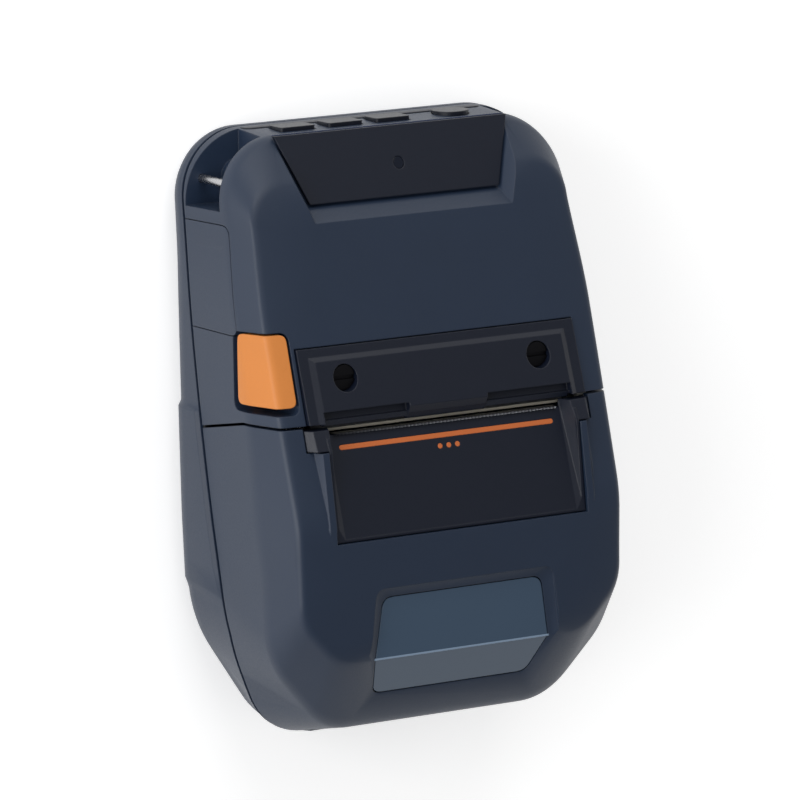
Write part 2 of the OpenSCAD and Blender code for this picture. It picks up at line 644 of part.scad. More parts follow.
module port_connector() {
    color(zinc) difference() {
        translate([-50, door_y - 4.6, floor_z + 3.1]) cube([7.6, 9.2, 3.4]);
        translate([-51, door_y - 4.1, floor_z + 3.6]) cube([6.8, 8.2, 2.4]);
    }
    color(black) translate([-49.5, door_y - 3.6, floor_z + 4.4]) cube([5.6, 7.2, 0.8]);
}
module contact_holder() {
    color(black) difference() {
        translate([-11.7, bay_b - 7.7, bay_top + 0.3]) cube([23.4, 3.4, floor_z + 1.5 - bay_top - 0.3]);
        for (i = [-3:3]) translate([i * 3 - 0.65, bay_b - 7.25, bay_top - 1]) cube([1.3, 2.5, 8]);
    }
}
module battery_contacts() {
    color(brass) for (i = [-3:3]) translate([i * 3 - 0.6, bay_b - 7.2, gap + pack_h - 0.35])
        cube([1.2, 2.4, floor_z + 1.5 - gap - pack_h + 0.35]);
}

// Keys and the board behind them
key_xs = [-27, -27 + key_pitch, -27 + 2 * key_pitch, 26];
key_back = top_y - 5.1;
module key_board() {
    color(board) translate([-37.2, top_y - 9, 13.6]) cube([74.4, 1.6, 13.2]);
}
module key_domes() {
    color(white) for (x = key_xs) translate([x, top_y - 7.4, key_z]) rotate([-90, 0, 0])
        cylinder(h = 2.3 - key_stroke - 0.1, r1 = 3.2, r2 = 1.8, $fn = 24);
}
module key_cap(x) {
    color(dark) {
        translate([x, 0, key_z]) rotate([-90, 0, 0]) translate([0, 0, key_back + 1.2])
            linear_extrude(4.4) polygon(rounded([[-key_w / 2, -key_h / 2], [key_w / 2, -key_h / 2],
                [key_w / 2, key_h / 2], [-key_w / 2, key_h / 2]], 1.2, 3));
        translate([x - key_w / 2 - 0.9, key_back, key_z - key_h / 2 - 0.9]) cube([key_w + 1.8, 1.3, key_h + 1.8]);
    }
}
module pairing_key() {
    key_cap(key_xs[0]);
}
module wireless_key() {
    key_cap(key_xs[1]);
}
module feed_key() {
    key_cap(key_xs[2]);
}
module power_key() {
    color(dark) translate([key_xs[3], key_back, key_z]) rotate([-90, 0, 0]) {
        cylinder(h = 5.6, r = power_r, $fn = 64);
        cylinder(h = 1.3, r = power_r + 0.9, $fn = 64);
    }
}

// Flexible port door, hinged on its edge at the key end
function door_outline(d) = let (a = door_y - door_len / 2 + d, b = door_y + door_len / 2 - d)
    concat([[a, 5], [b, 5]], turn([b, 31], [b, 34.1 - d], [b - 3, 34.7 - d], 4), [[44, 38.7 - d]],
        turn([a + 3, 40.6 - d], [a, 41.4 - d], [a, 38], 4));
// Space of the door: its outline as far in as a plane that leans with the side wall
door_lean = 4.8;
module door_space(d, in) {
    intersection() {
        side_prism(door_outline(d), -63.5, -48);
        translate([-half_w + door_t + in, 0, 10]) rotate([0, door_lean, 0])
            translate([-20, 0, -20]) cube([20, 90, 60]);
    }
}
module port_door() {
    color(slate) {
        intersection() {
            front_outer();
            door_space(0, 0);
        }
        // rim that plugs the well
        translate([-half_w + door_t - 0.1, 41, well_z + 0.3]) difference() {
            cube([2.9, 16.7, 11.4]);
            translate([-1, 1.4, 1.4]) cube([5, 13.9, 8.6]);
        }
    }
}

module cover_hinge_pin() {
    color(steel) across(-38.5, hinge_y, hinge_z, 77, pin_r);
}

// Release lever in its pocket, with a fork that turns the crank of the lift shaft
crank_b = 7;
crank_d = norm([lever_y - lift_y, lever_z - lift_z]);
crank_u = [lever_y - lift_y, lever_z - lift_z] / crank_d;
crank_n = [-crank_u[1], crank_u[0]];
crank_p = [lift_y, lift_z] + crank_b * crank_u;
function from(p, a, b) = p + a * crank_u + b * crank_n;
module release_lever() {
    color(orange) difference() {
        union() {
            intersection() {
                front_outer();
                lever_space(lever_a, lever_a + lever_len, -48.2, 41.4, 2.2);
            }
            // fork
            side_prism([from(crank_p, -2.4, -2.4), from(crank_p, -2.4, 2.4),
                from([lever_y, lever_z], 0, 2.8), from([lever_y, lever_z], 0, -2.8)], -51.8, -50);
        }
        across(-57.2, lever_y, lever_z, 16, pin_r + 0.02);
        // hollow under the skin
        translate([-56.2, lever_a + 1.6, 30]) cube([4.4, 6.5, 17]);
        translate([-56.2, lever_a + 1.6, 30]) cube([4.4, lever_len - 3.4, 15]);
        translate([-51.9, lever_a + 6, 30]) cube([2.1, lever_len - 7.8, 16.4]);
        // slot of the fork
        side_prism([from(crank_p, -4, -1.15), from(crank_p, -4, 1.15), from(crank_p, 1.6, 1.15),
            from(crank_p, 1.6, -1.15)], -53, -49);
    }
}
module lever_pin() {
    color(steel) across(-57.1, lever_y, lever_z, 11.5, pin_r);
}
module lift_shaft() {
    color(steel) across(-49.2, lift_y, lift_z, 97, lift_r, 40);
}
module lift_crank() {
    color(zinc) {
        difference() {
            side_prism(rounded([from([lift_y, lift_z], -3.6, -3.2), from([lift_y, lift_z], -3.6, 3.2),
                from(crank_p, 1.8, 1.9), from(crank_p, 1.8, -1.9)], 1.2, 3), -49.2, -47.7);
            across(-52, lift_y, lift_z, 6, lift_r + 0.01, 40);
        }
        across(-51.8, crank_p[0], crank_p[1], 3, 1);
    }
}
module lift_arms() {
    color(zinc) both() difference() {
        side_prism([[lift_y - 3.4, lift_z - 3.2], [lift_y + 3.4, lift_z - 3.2], [lift_y + 3.4, lift_z + 2.6],
            [2.6, 42], [2.2, 45.3], [-3, 45.3], [-3, 42.6], [lift_y - 3.4, lift_z]], 45.6, 47.1);
        across(40, lift_y, lift_z, 10, lift_r + 0.01, 40);
    }
}
module lift_spring() {
    color(steel) translate([-42.6, lift_y, lift_z]) rotate([0, 90, 0]) spring(2.9, 0.35, 7, 4);
}

// Roll cover: shell, raised frame round the insert, window frame and hinge skirt
win_w = 29.2;
win_fold = -59.6;
win_fall = 0.66;
win_pane = -2.85;
pane_t = 1.8;
pane_in = 1;
function win_line(d) = [[-30, face_h + 0.9 - d], [win_fold, face_h - 0.3 - d],
    [-80, face_h - 0.3 - win_fall * (80 + win_fold) - d * 1.2]];
function win_band(d1, d2) = let (a = win_line(d1), b = win_line(d2)) [a[0], a[1], a[2], b[2], b[1], b[0]];
function win_half(d) = let (w = win_w + d, y0 = -38.9 + d, y1 = -74 - d, r = 3.2)
    concat(turn([w - r, y0], [w, y0], [w + 0.12 * r, y0 - r], 4), [[w + 2.5, win_fold]],
        turn([w + 0.1, y1 + r], [w - 0.4, y1], [w - 0.4 - r, y1], 4));
function win_ring(d, dz) = let (h = win_half(d), l = win_line(0))
    ring(h, [for (p = h) table(l, p[1]) + dz]);
module window_prism(d) {
    h = win_half(d);
    translate([0, 0, 30]) linear_extrude(60) polygon([for (p = ring(h, [for (q = h) 0])) [p[0], p[1]]]);
}
module roll_cover() {
    color(navy) difference() {
        union() {
            difference() {
                front_outer();
                difference() {
                    front_inner();
                    // frame behind the window
                    intersection() {
                        side_prism(win_band(-9, pane_in + pane_t + 2.2), -40, 40);
                        window_prism(1.4);
                    }
                }
            }
            // raised frame round the insert
            hull() {
                side_prism([[-30.5, face_h - 1], [face_kink, face_h - 1.5], [2, face_z(2) - 1],
                    [2, face_z(2) + 0.02], [face_kink, face_h + 0.02], [-30.5, face_h]], -46.4, 46.4);
                side_prism([[-30.4, face_h - 0.5], [-30.4, face_h], [-24, face_h + 0.35],
                    [2, face_z(2) + 3.9], [2, face_z(2)]], -44, 44);
            }
            // hinge skirt and barrel
            side_prism([[-end_y + 2.5, hinge_z], [-end_y + 3.35, 30.6], [-end_y + 4.2, 36], [-end_y + 6.6, 36],
                [-end_y + 6, 30], [-end_y + 5.4, hinge_z]], -hinge_w, hinge_w);
            across(-hinge_w, hinge_y, hinge_z, 2 * hinge_w, hinge_r, 40);
        }
        beyond_split(1, -split_gap / 2);
        // opening of the insert and notches of its tabs
        translate([-insert_w - 0.3, -24.3, 50]) cube([2 * insert_w + 0.6, 60, 30]);
        both() translate([insert_w, 1.8, 50]) cube([6, 10, 30]);
        // sloped surround, seat and opening of the window
        loft([win_ring(win_pane + 0.45, -pane_in), win_ring(0.2, 0.5), win_ring(0.2, 9)]);
        intersection() {
            side_prism(win_band(-9, pane_in + pane_t + 0.5), -40, 40);
            window_prism(win_pane + 0.25);
        }
        window_prism(win_pane - 2.05);
        across(-40, hinge_y, hinge_z, 80, pin_r + 0.03);
    }
}
module window() {
    color([0.32, 0.37, 0.43]) intersection() {
        side_prism(win_band(pane_in, pane_in + pane_t), -40, 40);
        window_prism(win_pane);
    }
}
module window_seal() {
    color(black) intersection() {
        side_prism(win_band(pane_in + pane_t, pane_in + pane_t + 0.48), -40, 40);
        difference() {
            window_prism(win_pane - 0.05);
            window_prism(win_pane - 1.85);
        }
    }
}

// Insert of the cover: the sunk scoop above the tear bar
scoop_a = [-23.2, face_h + 0.1];
scoop_b = [9, 57.6];
scoop_tilt = atan((scoop_a[1] - scoop_b[1]) / (scoop_b[0] - scoop_a[0]));
exit_y = 5.6;
cheek_w = 38.6;
module cover_insert() {
    color(dark) difference() {
        union() {
            // tub of the scoop
            side_prism([[-24, face_h + 0.3], [-24, face_h - 2.2], [3.2, 55.9], [exit_y, 57.2],
                [exit_y, face_z(exit_y) + 3.1], [1.6, face_z(1.6) + 3.6]], -insert_w, insert_w);
            both() side_prism([[1.6, 57], [7.9, 58], [7.9, face_z(7.9) + 2.6], [1.6, face_z(1.6) + 3.6]],
                cheek_w, insert_w);
            // tabs in the notches of the cover
            both() hull() {
                side_prism([[2.2, face_z(2.2) - 1.9], [7.9, face_z(7.9) - 1.9], [7.9, face_z(7.9) + 0.4],
                    [2.2, face_z(2.2) + 0.4]], insert_w - 0.5, 47.3);
                side_prism([[2.2, face_z(2.2)], [7.9, face_z(7.9)], [7.9, face_z(7.9) + 2.6],
                    [2.2, face_z(2.2) + 3.4]], insert_w - 0.5, 45.3);
            }
            // bosses of the carrier screws
            both() translate([carrier_x, carrier_y, 60.4]) cylinder(h = 4, r = 3, $fn = 24);
        }
        // scoop, deepest at the exit
        hull() {
            side_prism([scoop_a, [scoop_b[0], scoop_b[1]], [9, 80], [scoop_a[0], 80]], -cheek_w, cheek_w);
            side_prism([scoop_a + [-0.2, 0.8], [9, 63], [9, 80], [scoop_a[0], 80]],
                -insert_w + 0.9, insert_w - 0.9);
        }
        stripe(0);
        both() translate([carrier_x, carrier_y, 60]) cylinder(h = 4, r = 1.22, $fn = 24);
    }
}
carrier_x = 36;
carrier_y = -17.4;
module on_scoop(y) {
    translate([0, y, scoop_b[1] + (scoop_b[0] - y) * tan(scoop_tilt)]) rotate([-scoop_tilt, 0, 0]) children();
}
module stripe(g) {
    on_scoop(1.9) translate([0, 0, -0.6]) linear_extrude(0.62) {
        translate([-35, -0.75 + g]) square([70, 1.5 - 2 * g]);
        for (x = [-35, 35]) translate([x, 0]) circle(r = 0.75 - g, $fn = 24);
        for (x = [-2.9, 0, 2.9]) translate([x, -3.1]) circle(r = 0.8 - g, $fn = 24);
    }
}
module stripe_inlay() {
    color(orange) stripe(0.02);
}
module tear_bar() {
    n = floor(2 * tear_len / tear_pitch);
    color(steel) translate([0, exit_y + 0.5, 0]) rotate([90, 0, 0]) linear_extrude(0.5)
        polygon(concat([[-tear_len, 57.4]], [[-tear_len, 59.2]],
            [for (i = [0:n - 1]) each [[-tear_len + tear_pitch * (i + 0.5), 60.2],
                [-tear_len + tear_pitch * (i + 1), 59.2]]], [[tear_len, 59.2]], [[tear_len, 57.4]]));
}

// Platen and its carrier, screwed under the insert
module platen_carrier() {
    color(black) difference() {
        union() {
            both() side_prism([[-12, 46.6], [-12, 56.6], [-4, 56.2], [4, 54.2], [5.6, 52], [5.6, 47.6],
                [2, 44.6], [-2, 44.6]], 41.3, 43);
            translate([-43, -13, 50.4]) cube([86, 4, 6.2]);
            both() translate([carrier_x - 4, carrier_y - 3.6, 58.4]) cube([8, 9.5, 2]);
            both() translate([carrier_x - 4, -13, 54]) cube([8, 2, 6.4]);
        }
        both() across(41, platen_y, platen_z, 4, 3.2, 40);
        both() translate([carrier_x, carrier_y, 50]) cylinder(h = 20, r = 1.3, $fn = 24);
    }
}
module carrier_screws() {
    color(zinc) both() translate([carrier_x, carrier_y, 57]) {
        cylinder(h = 1.4, r = 2.3, $fn = 24);
        cylinder(h = 6.6, r = 1.2, $fn = 20);
    }
}
module platen_bushes() {
    color(white) both() difference() {
        union() {
            across(40.9, platen_y, platen_z, 2.2, 3.15, 40);
            across(40.9, platen_y, platen_z, 0.35, 4.1, 40);
        }
        across(40, platen_y, platen_z, 5, shaft_r + 0.04, 40);
    }
}
module platen_roller() {
    color(black) difference() {
        across(-platen_len, platen_y, platen_z, 2 * platen_len, platen_r, 64);
        across(-platen_len - 1, platen_y, platen_z, 2 * platen_len + 2, shaft_r, 40);
    }
}
module platen_shaft() {
    color(steel) across(-48, platen_y, platen_z, gear_x + 51, shaft_r, 40);
}

// Roll guides on two racks with one pinion between them
roll_y = -40;
roll_z = 33.5;
guide_x = 41;
rack_r = 4;
rack_z = wall + 0.9;
rack_p = 2 * PI * rack_r / 16;
rack_n = 26;
module guide() {
    difference() {
        union() {
            across(guide_x, roll_y, roll_z, 3, guide_r, 64);
            translate([guide_x, roll_y - 12, rack_z + 2.5]) cube([3, 24, 12]);
            across(guide_x - 3.6, roll_y, roll_z, 4, 6, 48);
        }
        across(guide_x - 4, roll_y, roll_z, 8, 3.4, 40);
    }
}
module rack() {
    y0 = roll_y + rack_r + 0.75;
    x1 = rack_p * (rack_n - 0.5);
    translate([0, 0, rack_z]) linear_extrude(2.2) polygon(concat([[-rack_p / 2, y0 + 2], [-rack_p / 2, y0]],
        [for (i = [0:rack_n - 1]) let (x = i * rack_p)
            each [[x - rack_p * 0.36, y0], [x - rack_p * 0.12, y0 - 1.25], [x + rack_p * 0.12, y0 - 1.25],
                [x + rack_p * 0.36, y0]]], [[x1, y0], [x1, y0 + 2]]));
    translate([x1 - 0.5, y0, rack_z]) cube([guide_x + 3 - x1 + 0.5, 2, 4]);
}
module roll_guide_right() {
    color(black) {
        guide();
        rack();
    }
}
module roll_guide_left() {
    color(black) translate([0, 2 * roll_y, 0]) rotate([0, 0, 180]) {
        guide();
        rack();
    }
}
module guide_pinion() {
    color(white) translate([0, roll_y, rack_z + 0.1]) difference() {
        linear_extrude(2) polygon([for (i = [0:15]) for (q = [[rack_r - 0.75, -0.36], [rack_r, -0.22],
            [rack_r + 0.55, -0.1], [rack_r + 0.55, 0.1], [rack_r, 0.22], [rack_r - 0.75, 0.36]])
                let (a = 360 * (i + q[1] + 0.5) / 16 + 90) q[0] * [cos(a), sin(a)]]);
        translate([0, 0, -1]) cylinder(h = 4, r = pin_r + 0.03, $fn = 32);
    }
}
module guide_rail() {
    color(zinc) {
        translate([-46, roll_y - 10, wall + 0.1]) cube([92, 20, 0.7]);
        translate([0, roll_y, wall + 0.1]) cylinder(h = 3.4, r = pin_r, $fn = 32);
    }
}

// Battery pack, held in its bay by the sliding catch
module battery_pack() {
    color(black) difference() {
        translate([-pack_w / 2, bay_a + gap, gap]) cube([pack_w, pack_len, pack_h]);
        translate([-12, bay_b - 9.3, gap + pack_h - 0.9]) cube([24, 6.6, 3]);
        translate([-8.6, bay_b - 2.1, 2.1]) cube([17.2, 4, 3.9]);
    }
}
module battery_terminals() {
    color(brass) for (i = [-3:3]) translate([i * 3 - 0.8, bay_b - 8.6, gap + pack_h - 0.9])
        cube([1.6, 4.4, 0.5]);
}
module battery_catch() {
    color(slate) difference() {
        union() {
            translate([-8, bay_b - 1.7, 2.5]) cube([16, 6.7, 3.1]);
            translate([-5.5, bay_b + 2.2, 0.6]) cube([11, 2.6, 2]);
        }
        translate([0, bay_b + 1.2, 4.05]) rotate([-90, 0, 0]) cylinder(h = 8, r = 1.45, $fn = 24);
    }
}
module catch_spring() {
    color(steel) translate([0, bay_b + 3.4, 4.05]) rotate([-90, 0, 0]) spring(1, 0.18, 3.7, 4);
}

rear_casing();
front_casing();
body_seal();
control_panel();
indicator_lens();
exit_bezel();
bezel_screws();
strap_bars();
casing_screws();
mechanism_frame();
frame_screws();
paper_guide();
print_head();
head_heatsink();
head_springs();
drive_motor();
idler_pin();
paper_sensor();
main_board();
board_screws();
key_board();
key_domes();
port_connector();
contact_holder();
battery_contacts();
cover_hinge_pin();
guide_rail();
lift_spring();
catch_spring();
power_key();
feed_key();
wireless_key();
pairing_key();
port_door();
release_lever();
lever_pin();
lift_shaft();
lift_arms();
lift_crank();
roll_cover();
cover_insert();
stripe_inlay();
tear_bar();
window();
window_seal();
platen_carrier();
platen_bushes();
carrier_screws();
platen_roller();
platen_shaft();
platen_gear();
idler_gear();
motor_pinion();
roll_guide_left();
roll_guide_right();
guide_pinion();
battery_pack();
battery_terminals();
battery_catch();
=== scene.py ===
import json
import math

import bpy
import numpy as np
from mathutils import Matrix, Vector


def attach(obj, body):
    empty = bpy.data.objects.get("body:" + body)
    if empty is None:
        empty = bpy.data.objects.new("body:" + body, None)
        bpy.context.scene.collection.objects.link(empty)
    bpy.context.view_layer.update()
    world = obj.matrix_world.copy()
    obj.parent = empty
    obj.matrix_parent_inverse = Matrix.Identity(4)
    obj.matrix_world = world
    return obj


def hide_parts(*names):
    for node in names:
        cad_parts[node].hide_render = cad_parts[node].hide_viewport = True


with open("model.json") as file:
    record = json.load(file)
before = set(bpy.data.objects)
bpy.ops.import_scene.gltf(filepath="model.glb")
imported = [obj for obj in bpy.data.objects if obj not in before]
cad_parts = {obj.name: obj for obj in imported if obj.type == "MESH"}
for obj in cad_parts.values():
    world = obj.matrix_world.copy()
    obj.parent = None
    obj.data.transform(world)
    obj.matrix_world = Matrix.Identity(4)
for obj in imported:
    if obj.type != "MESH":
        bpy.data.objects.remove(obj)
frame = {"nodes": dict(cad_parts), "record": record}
for spare in ("Cube", "Light", "Camera"):
    if spare in bpy.data.objects:
        bpy.data.objects.remove(bpy.data.objects[spare])
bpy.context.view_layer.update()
nodes = frame["nodes"]
MM = 0.001

# Studio: a pale seamless floor, a soft box on the printer's left and a weaker one past its key end, in a
# pale room whose ceiling is dimmer than its walls. The floor keeps the shadow.


def linear(hex_colour):
    """sRGB hex value to linear RGBA."""
    parts = [int(hex_colour[i:i + 2], 16) / 255 for i in (1, 3, 5)]
    return tuple(c / 12.92 if c <= 0.04045 else ((c + 0.055) / 1.055) ** 2.4 for c in parts) + (1,)


def add(material, kind, links=None, **settings):
    """Adds a node to a material or world, with its settings and the sockets that feed it."""
    node = material.node_tree.nodes.new(kind)
    for key, value in settings.items():
        name = key.replace("_", " ")
        socket = next((s for s in node.inputs if s.name.lower() == name.lower() and s.enabled), None)
        if socket is not None:
            socket.default_value = value
        else:
            setattr(node, key, value)
    for target, source in (links or {}).items():
        material.node_tree.links.new(source, node.inputs[target])
    return node


def surface(name):
    """An empty material by name."""
    material = bpy.data.materials.new(name)
    material.use_nodes = True
    material.node_tree.nodes.clear()
    return material


def finish_with(material, shader):
    """Ends a material in its output node."""
    add(material, "ShaderNodeOutputMaterial", {"Surface": shader})
    return material


floor_mesh = bpy.data.meshes.new("floor")
floor_mesh.from_pydata([(-3, -3, 0), (3, -3, 0), (3, 3, 0), (-3, 3, 0)], [], [(0, 1, 2, 3)])
floor = bpy.data.objects.new("floor", floor_mesh)
bpy.context.scene.collection.objects.link(floor)
floor.location.z = -0.0002
card = surface("white_card_floor")
rays = add(card, "ShaderNodeLightPath")
seen = add(card, "ShaderNodeMath", {0: rays.outputs["Is Camera Ray"], 1: rays.outputs["Is Glossy Ray"]},
           operation="MAXIMUM")
seen_through = add(card, "ShaderNodeMath", {0: seen.outputs[0], 1: rays.outputs["Is Transmission Ray"]},
                   operation="MAXIMUM")
paper = add(card, "ShaderNodeBsdfDiffuse", Color=linear("#F2F2F2"))
glow = add(card, "ShaderNodeEmission", Color=(1, 1, 1, 1), Strength=0.45)
none = add(card, "ShaderNodeEmission", Color=(0, 0, 0, 1), Strength=0.0)
lift = add(card, "ShaderNodeMixShader", {0: seen_through.outputs[0], 1: none.outputs[0], 2: glow.outputs[0]})
finish_with(card, add(card, "ShaderNodeAddShader", {0: paper.outputs[0], 1: lift.outputs[0]}).outputs[0])
floor_mesh.materials.append(card)

world = bpy.data.worlds.new("pale_room")
bpy.context.scene.world = world
world.use_nodes = True
world.node_tree.nodes.clear()
room_rays = add(world, "ShaderNodeLightPath")
room_seen = add(world, "ShaderNodeMath", {0: room_rays.outputs["Is Camera Ray"],
                                          1: room_rays.outputs["Is Glossy Ray"]}, operation="MAXIMUM")
room_way = add(world, "ShaderNodeTexCoord")
room_height = add(world, "ShaderNodeSeparateXYZ", {0: room_way.outputs["Generated"]})
ceiling = add(world, "ShaderNodeMapRange", {"Value": room_height.outputs["Z"]}, From_Min=0.05, From_Max=0.55,
              To_Min=1.0, To_Max=0.22)
room_glow = add(world, "ShaderNodeBackground", Color=(1, 1, 1, 1), Strength=0.42)
room_white = add(world, "ShaderNodeBackground", {"Strength": ceiling.outputs[0]}, Color=(1, 1, 1, 1))
room = add(world, "ShaderNodeMixShader", {0: room_seen.outputs[0], 1: room_glow.outputs[0],
                                          2: room_white.outputs[0]})
add(world, "ShaderNodeOutputWorld", {"Surface": room.outputs[0]})

for name, place, size, power in (("soft_box_left", (-1.5, 0.15, 0.75), 1.2, 15.0),
                                 ("soft_box_key_end", (-0.2, 1.5, 1.0), 1.2, 11.0)):
    lamp = bpy.data.lights.new(name, "AREA")
    lamp.energy = power
    lamp.size = size
    lamp_object = bpy.data.objects.new(name, lamp)
    bpy.context.scene.collection.objects.link(lamp_object)
    lamp_object.location = place
    lamp_object.rotation_euler = (Vector((0, 0, 0.03)) - Vector(place)).to_track_quat("-Z", "Y").to_euler()

# Camera: a long lens, its place and direction fitted to edges of the object in the photo.
camera_data = bpy.data.cameras.new("camera")
camera_data.sensor_width = 36
camera_data.lens = 292.3
camera = bpy.data.objects.new("camera", camera_data)
bpy.context.scene.collection.objects.link(camera)
ahead = Vector((0.494356, -0.177989, -0.850842)).normalized()
above = Vector((0.106630, 0.983837, -0.143857)).normalized()
beside = ahead.cross(above)
camera_place = Vector((-0.9337107, 0.3441880, 1.6403250))
turned = Matrix((beside, above, -ahead)).transposed().to_4x4()
camera.matrix_world = Matrix.Translation(camera_place) @ turned
bpy.context.scene.camera = camera
bpy.context.scene.view_settings.view_transform = "Standard"

# Rear casing: the back half, injection moulded in navy PC/ABS with a fine eroded texture, its back edges
# well rounded and a shallow grip pad on each side. It holds the battery bay and carries everything else.


edge_mm = 0.45


def moulded(name, hex_colour, rough=0.46, grain_mm=0.5, depth=0.03, speck=0.10):
    """Moulded plastic: an eroded mould leaves a fine grain that breaks up the gloss into a faint sparkle.
    Its edges are rounded in the shading alone."""
    material = surface(name)
    place = add(material, "ShaderNodeTexCoord")
    grain = add(material, "ShaderNodeTexNoise", {"Vector": place.outputs["Object"]},
                Scale=1 / (grain_mm * MM), Detail=3.0, Roughness=0.65)
    cloud = add(material, "ShaderNodeTexNoise", {"Vector": place.outputs["Object"]},
                Scale=1 / (14 * MM), Detail=2.0)
    base = linear(hex_colour)
    tone = add(material, "ShaderNodeMath", {0: grain.outputs["Fac"], 1: cloud.outputs["Fac"]},
               operation="MULTIPLY_ADD")
    tone.inputs[2].default_value = 0.12
    colour = add(material, "ShaderNodeMix", {"Factor": tone.outputs[0]}, data_type="RGBA")
    colour.inputs[6].default_value = tuple(c * (1 - speck) for c in base[:3]) + (1,)
    colour.inputs[7].default_value = tuple(c * (1 + speck) for c in base[:3]) + (1,)
    gloss = add(material, "ShaderNodeMapRange", {"Value": grain.outputs["Fac"]}, From_Min=0.3, From_Max=0.7,
                To_Min=rough * 0.88, To_Max=min(1.0, rough * 1.12))
    soft_edge = add(material, "ShaderNodeBevel", Radius=edge_mm * MM)
    bump = add(material, "ShaderNodeBump",
               {"Height": grain.outputs["Fac"], "Normal": soft_edge.outputs["Normal"]}, Strength=0.5,
               Distance=max(depth, 0.001) * MM)
    shader = add(material, "ShaderNodeBsdfPrincipled",
                 {"Base Color": colour.outputs[2], "Roughness": gloss.outputs[0], "Normal": bump.outputs[0]},
                 IOR=1.49)
    return finish_with(material, shader.outputs[0])


def curve(pairs, value):
    """Smooth value of a table of pairs that runs from high to low, without overshoot between them."""
    x = np.array([p[0] for p in reversed(pairs)], float)
    y = np.array([p[1] for p in reversed(pairs)], float)
    step = np.diff(x)
    rise = np.diff(y) / step
    slope = np.concatenate([[rise[0]], np.where(rise[1:] * rise[:-1] > 0,
                            2 * rise[1:] * rise[:-1] / (rise[1:] + rise[:-1] + 1e-12), 0), [rise[-1]]])
    v = np.clip(np.asarray(value, float), x[0], x[-1])
    i = np.clip(np.searchsorted(x, v) - 1, 0, len(x) - 2)
    t = (v - x[i]) / step[i]
    return ((2 * t**3 - 3 * t**2 + 1) * y[i] + (t**3 - 2 * t**2 + t) * step[i] * slope[i]
            + (3 * t**2 - 2 * t**3) * y[i + 1] + (t**3 - t**2) * step[i] * slope[i + 1])


def bend(a, c, b, n):
    """Points of a rounded turn from a past the corner c to b."""
    t = np.linspace(0, 1, n + 1)[:, None]
    return (1 - t)**2 * np.array(a, float) + 2 * t * (1 - t) * np.array(c, float) + t**2 * np.array(b, float)


half_w, top_y, end_y, face_h, face_w, wall, corner_r = 58.4, 89.2, 89.8, 67.5, 54.2, 2.2, 20.0


def seam_z(y):
    """Height of the seam between the halves, which falls toward the key end."""
    return curve([(top_y, 9.5), (61, 12.6), (35, 15.4), (3, 20), (-38, 27.3), (-55, 30)], y)


def half_plan(widths, y_top, radius, cut_a, cut_b, round_a, round_b):
    """Half outline of the body in plan, from the key end round to the hinge end."""
    a = np.radians(np.linspace(90, 0, 25))
    corner = np.stack([widths[0] - radius + radius * np.cos(a), y_top - radius + radius * np.sin(a)], 1)
    ys = np.concatenate([np.linspace(y_top - radius - 1.5, 12.5, 22), [11.2, 10.4, 9.6, 8.8, 7.4],
                         np.linspace(5, -36, 18)])
    across = curve([(64, widths[0]), (35, widths[1]), (-20, widths[2]), (-36, widths[3])], ys)
    sides = np.stack([across, ys], 1)
    cut_a, cut_b = np.array(cut_a, float), np.array(cut_b, float)
    along = (cut_b - cut_a) / np.linalg.norm(cut_b - cut_a)
    before = np.array([widths[3], -36]) - cut_a
    return np.concatenate([corner, sides,
                           bend(cut_a + round_a * before / np.linalg.norm(before), cut_a,
                                cut_a + round_a * along, 14),
                           bend(cut_b - round_b * along, cut_b, cut_b - [round_b, 0], 14)])


def plan_seam(t):
    """Half outline at the seam, t inside the skin, as in every plan below."""
    return half_plan([half_w - t, half_w + 0.2 - t, half_w - 0.1 - t, half_w - 0.5 - t], top_y - t,
                     corner_r - t * 0.8, [half_w - 1.2 - t, -55.8], [45.9 - t * 0.6, -end_y + 3.3 + t],
                     12, 14)


def plan_rear(t):
    """Half outline of the flat back."""
    return half_plan([half_w - t, half_w + 0.1 - t, half_w - 0.1 - t, half_w - 0.5 - t], top_y - t,
                     corner_r - t * 0.8, [half_w - 1.1 - t, -54], [34.5 - t * 0.5, -end_y + t], 12, 12)


def ring(half, z):
    """Closed ring of points from a half outline and its heights."""
    right = np.column_stack([half[:, 0], half[:, 1], z])
    return np.concatenate([right, (right * [-1, 1, 1])[::-1]])


def solid(name, points, faces):
    """A mesh object from points in millimetres."""
    mesh = bpy.data.meshes.new(name)
    mesh.from_pydata([tuple(p) for p in np.asarray(points, float) * MM], [], [tuple(f) for f in faces])
    piece = bpy.data.objects.new(name, mesh)
    bpy.context.scene.collection.objects.link(piece)
    return piece


def loft(name, rings):
    """Closed skin over rings that lie one above the other, its ends closed straight across."""
    n = len(rings[0])
    top = (len(rings) - 1) * n
    faces = [(k * n + i, k * n + (i + 1) % n, (k + 1) * n + (i + 1) % n, (k + 1) * n + i)
             for k in range(len(rings) - 1) for i in range(n)]
    faces += [(i, n - 1 - i, n - 2 - i, i + 1) for i in range(n // 2 - 1)]
    faces += [(top + i, top + i + 1, top + n - 2 - i, top + n - 1 - i) for i in range(n // 2 - 1)]
    return solid(name, np.concatenate(rings), [face[::-1] for face in faces])


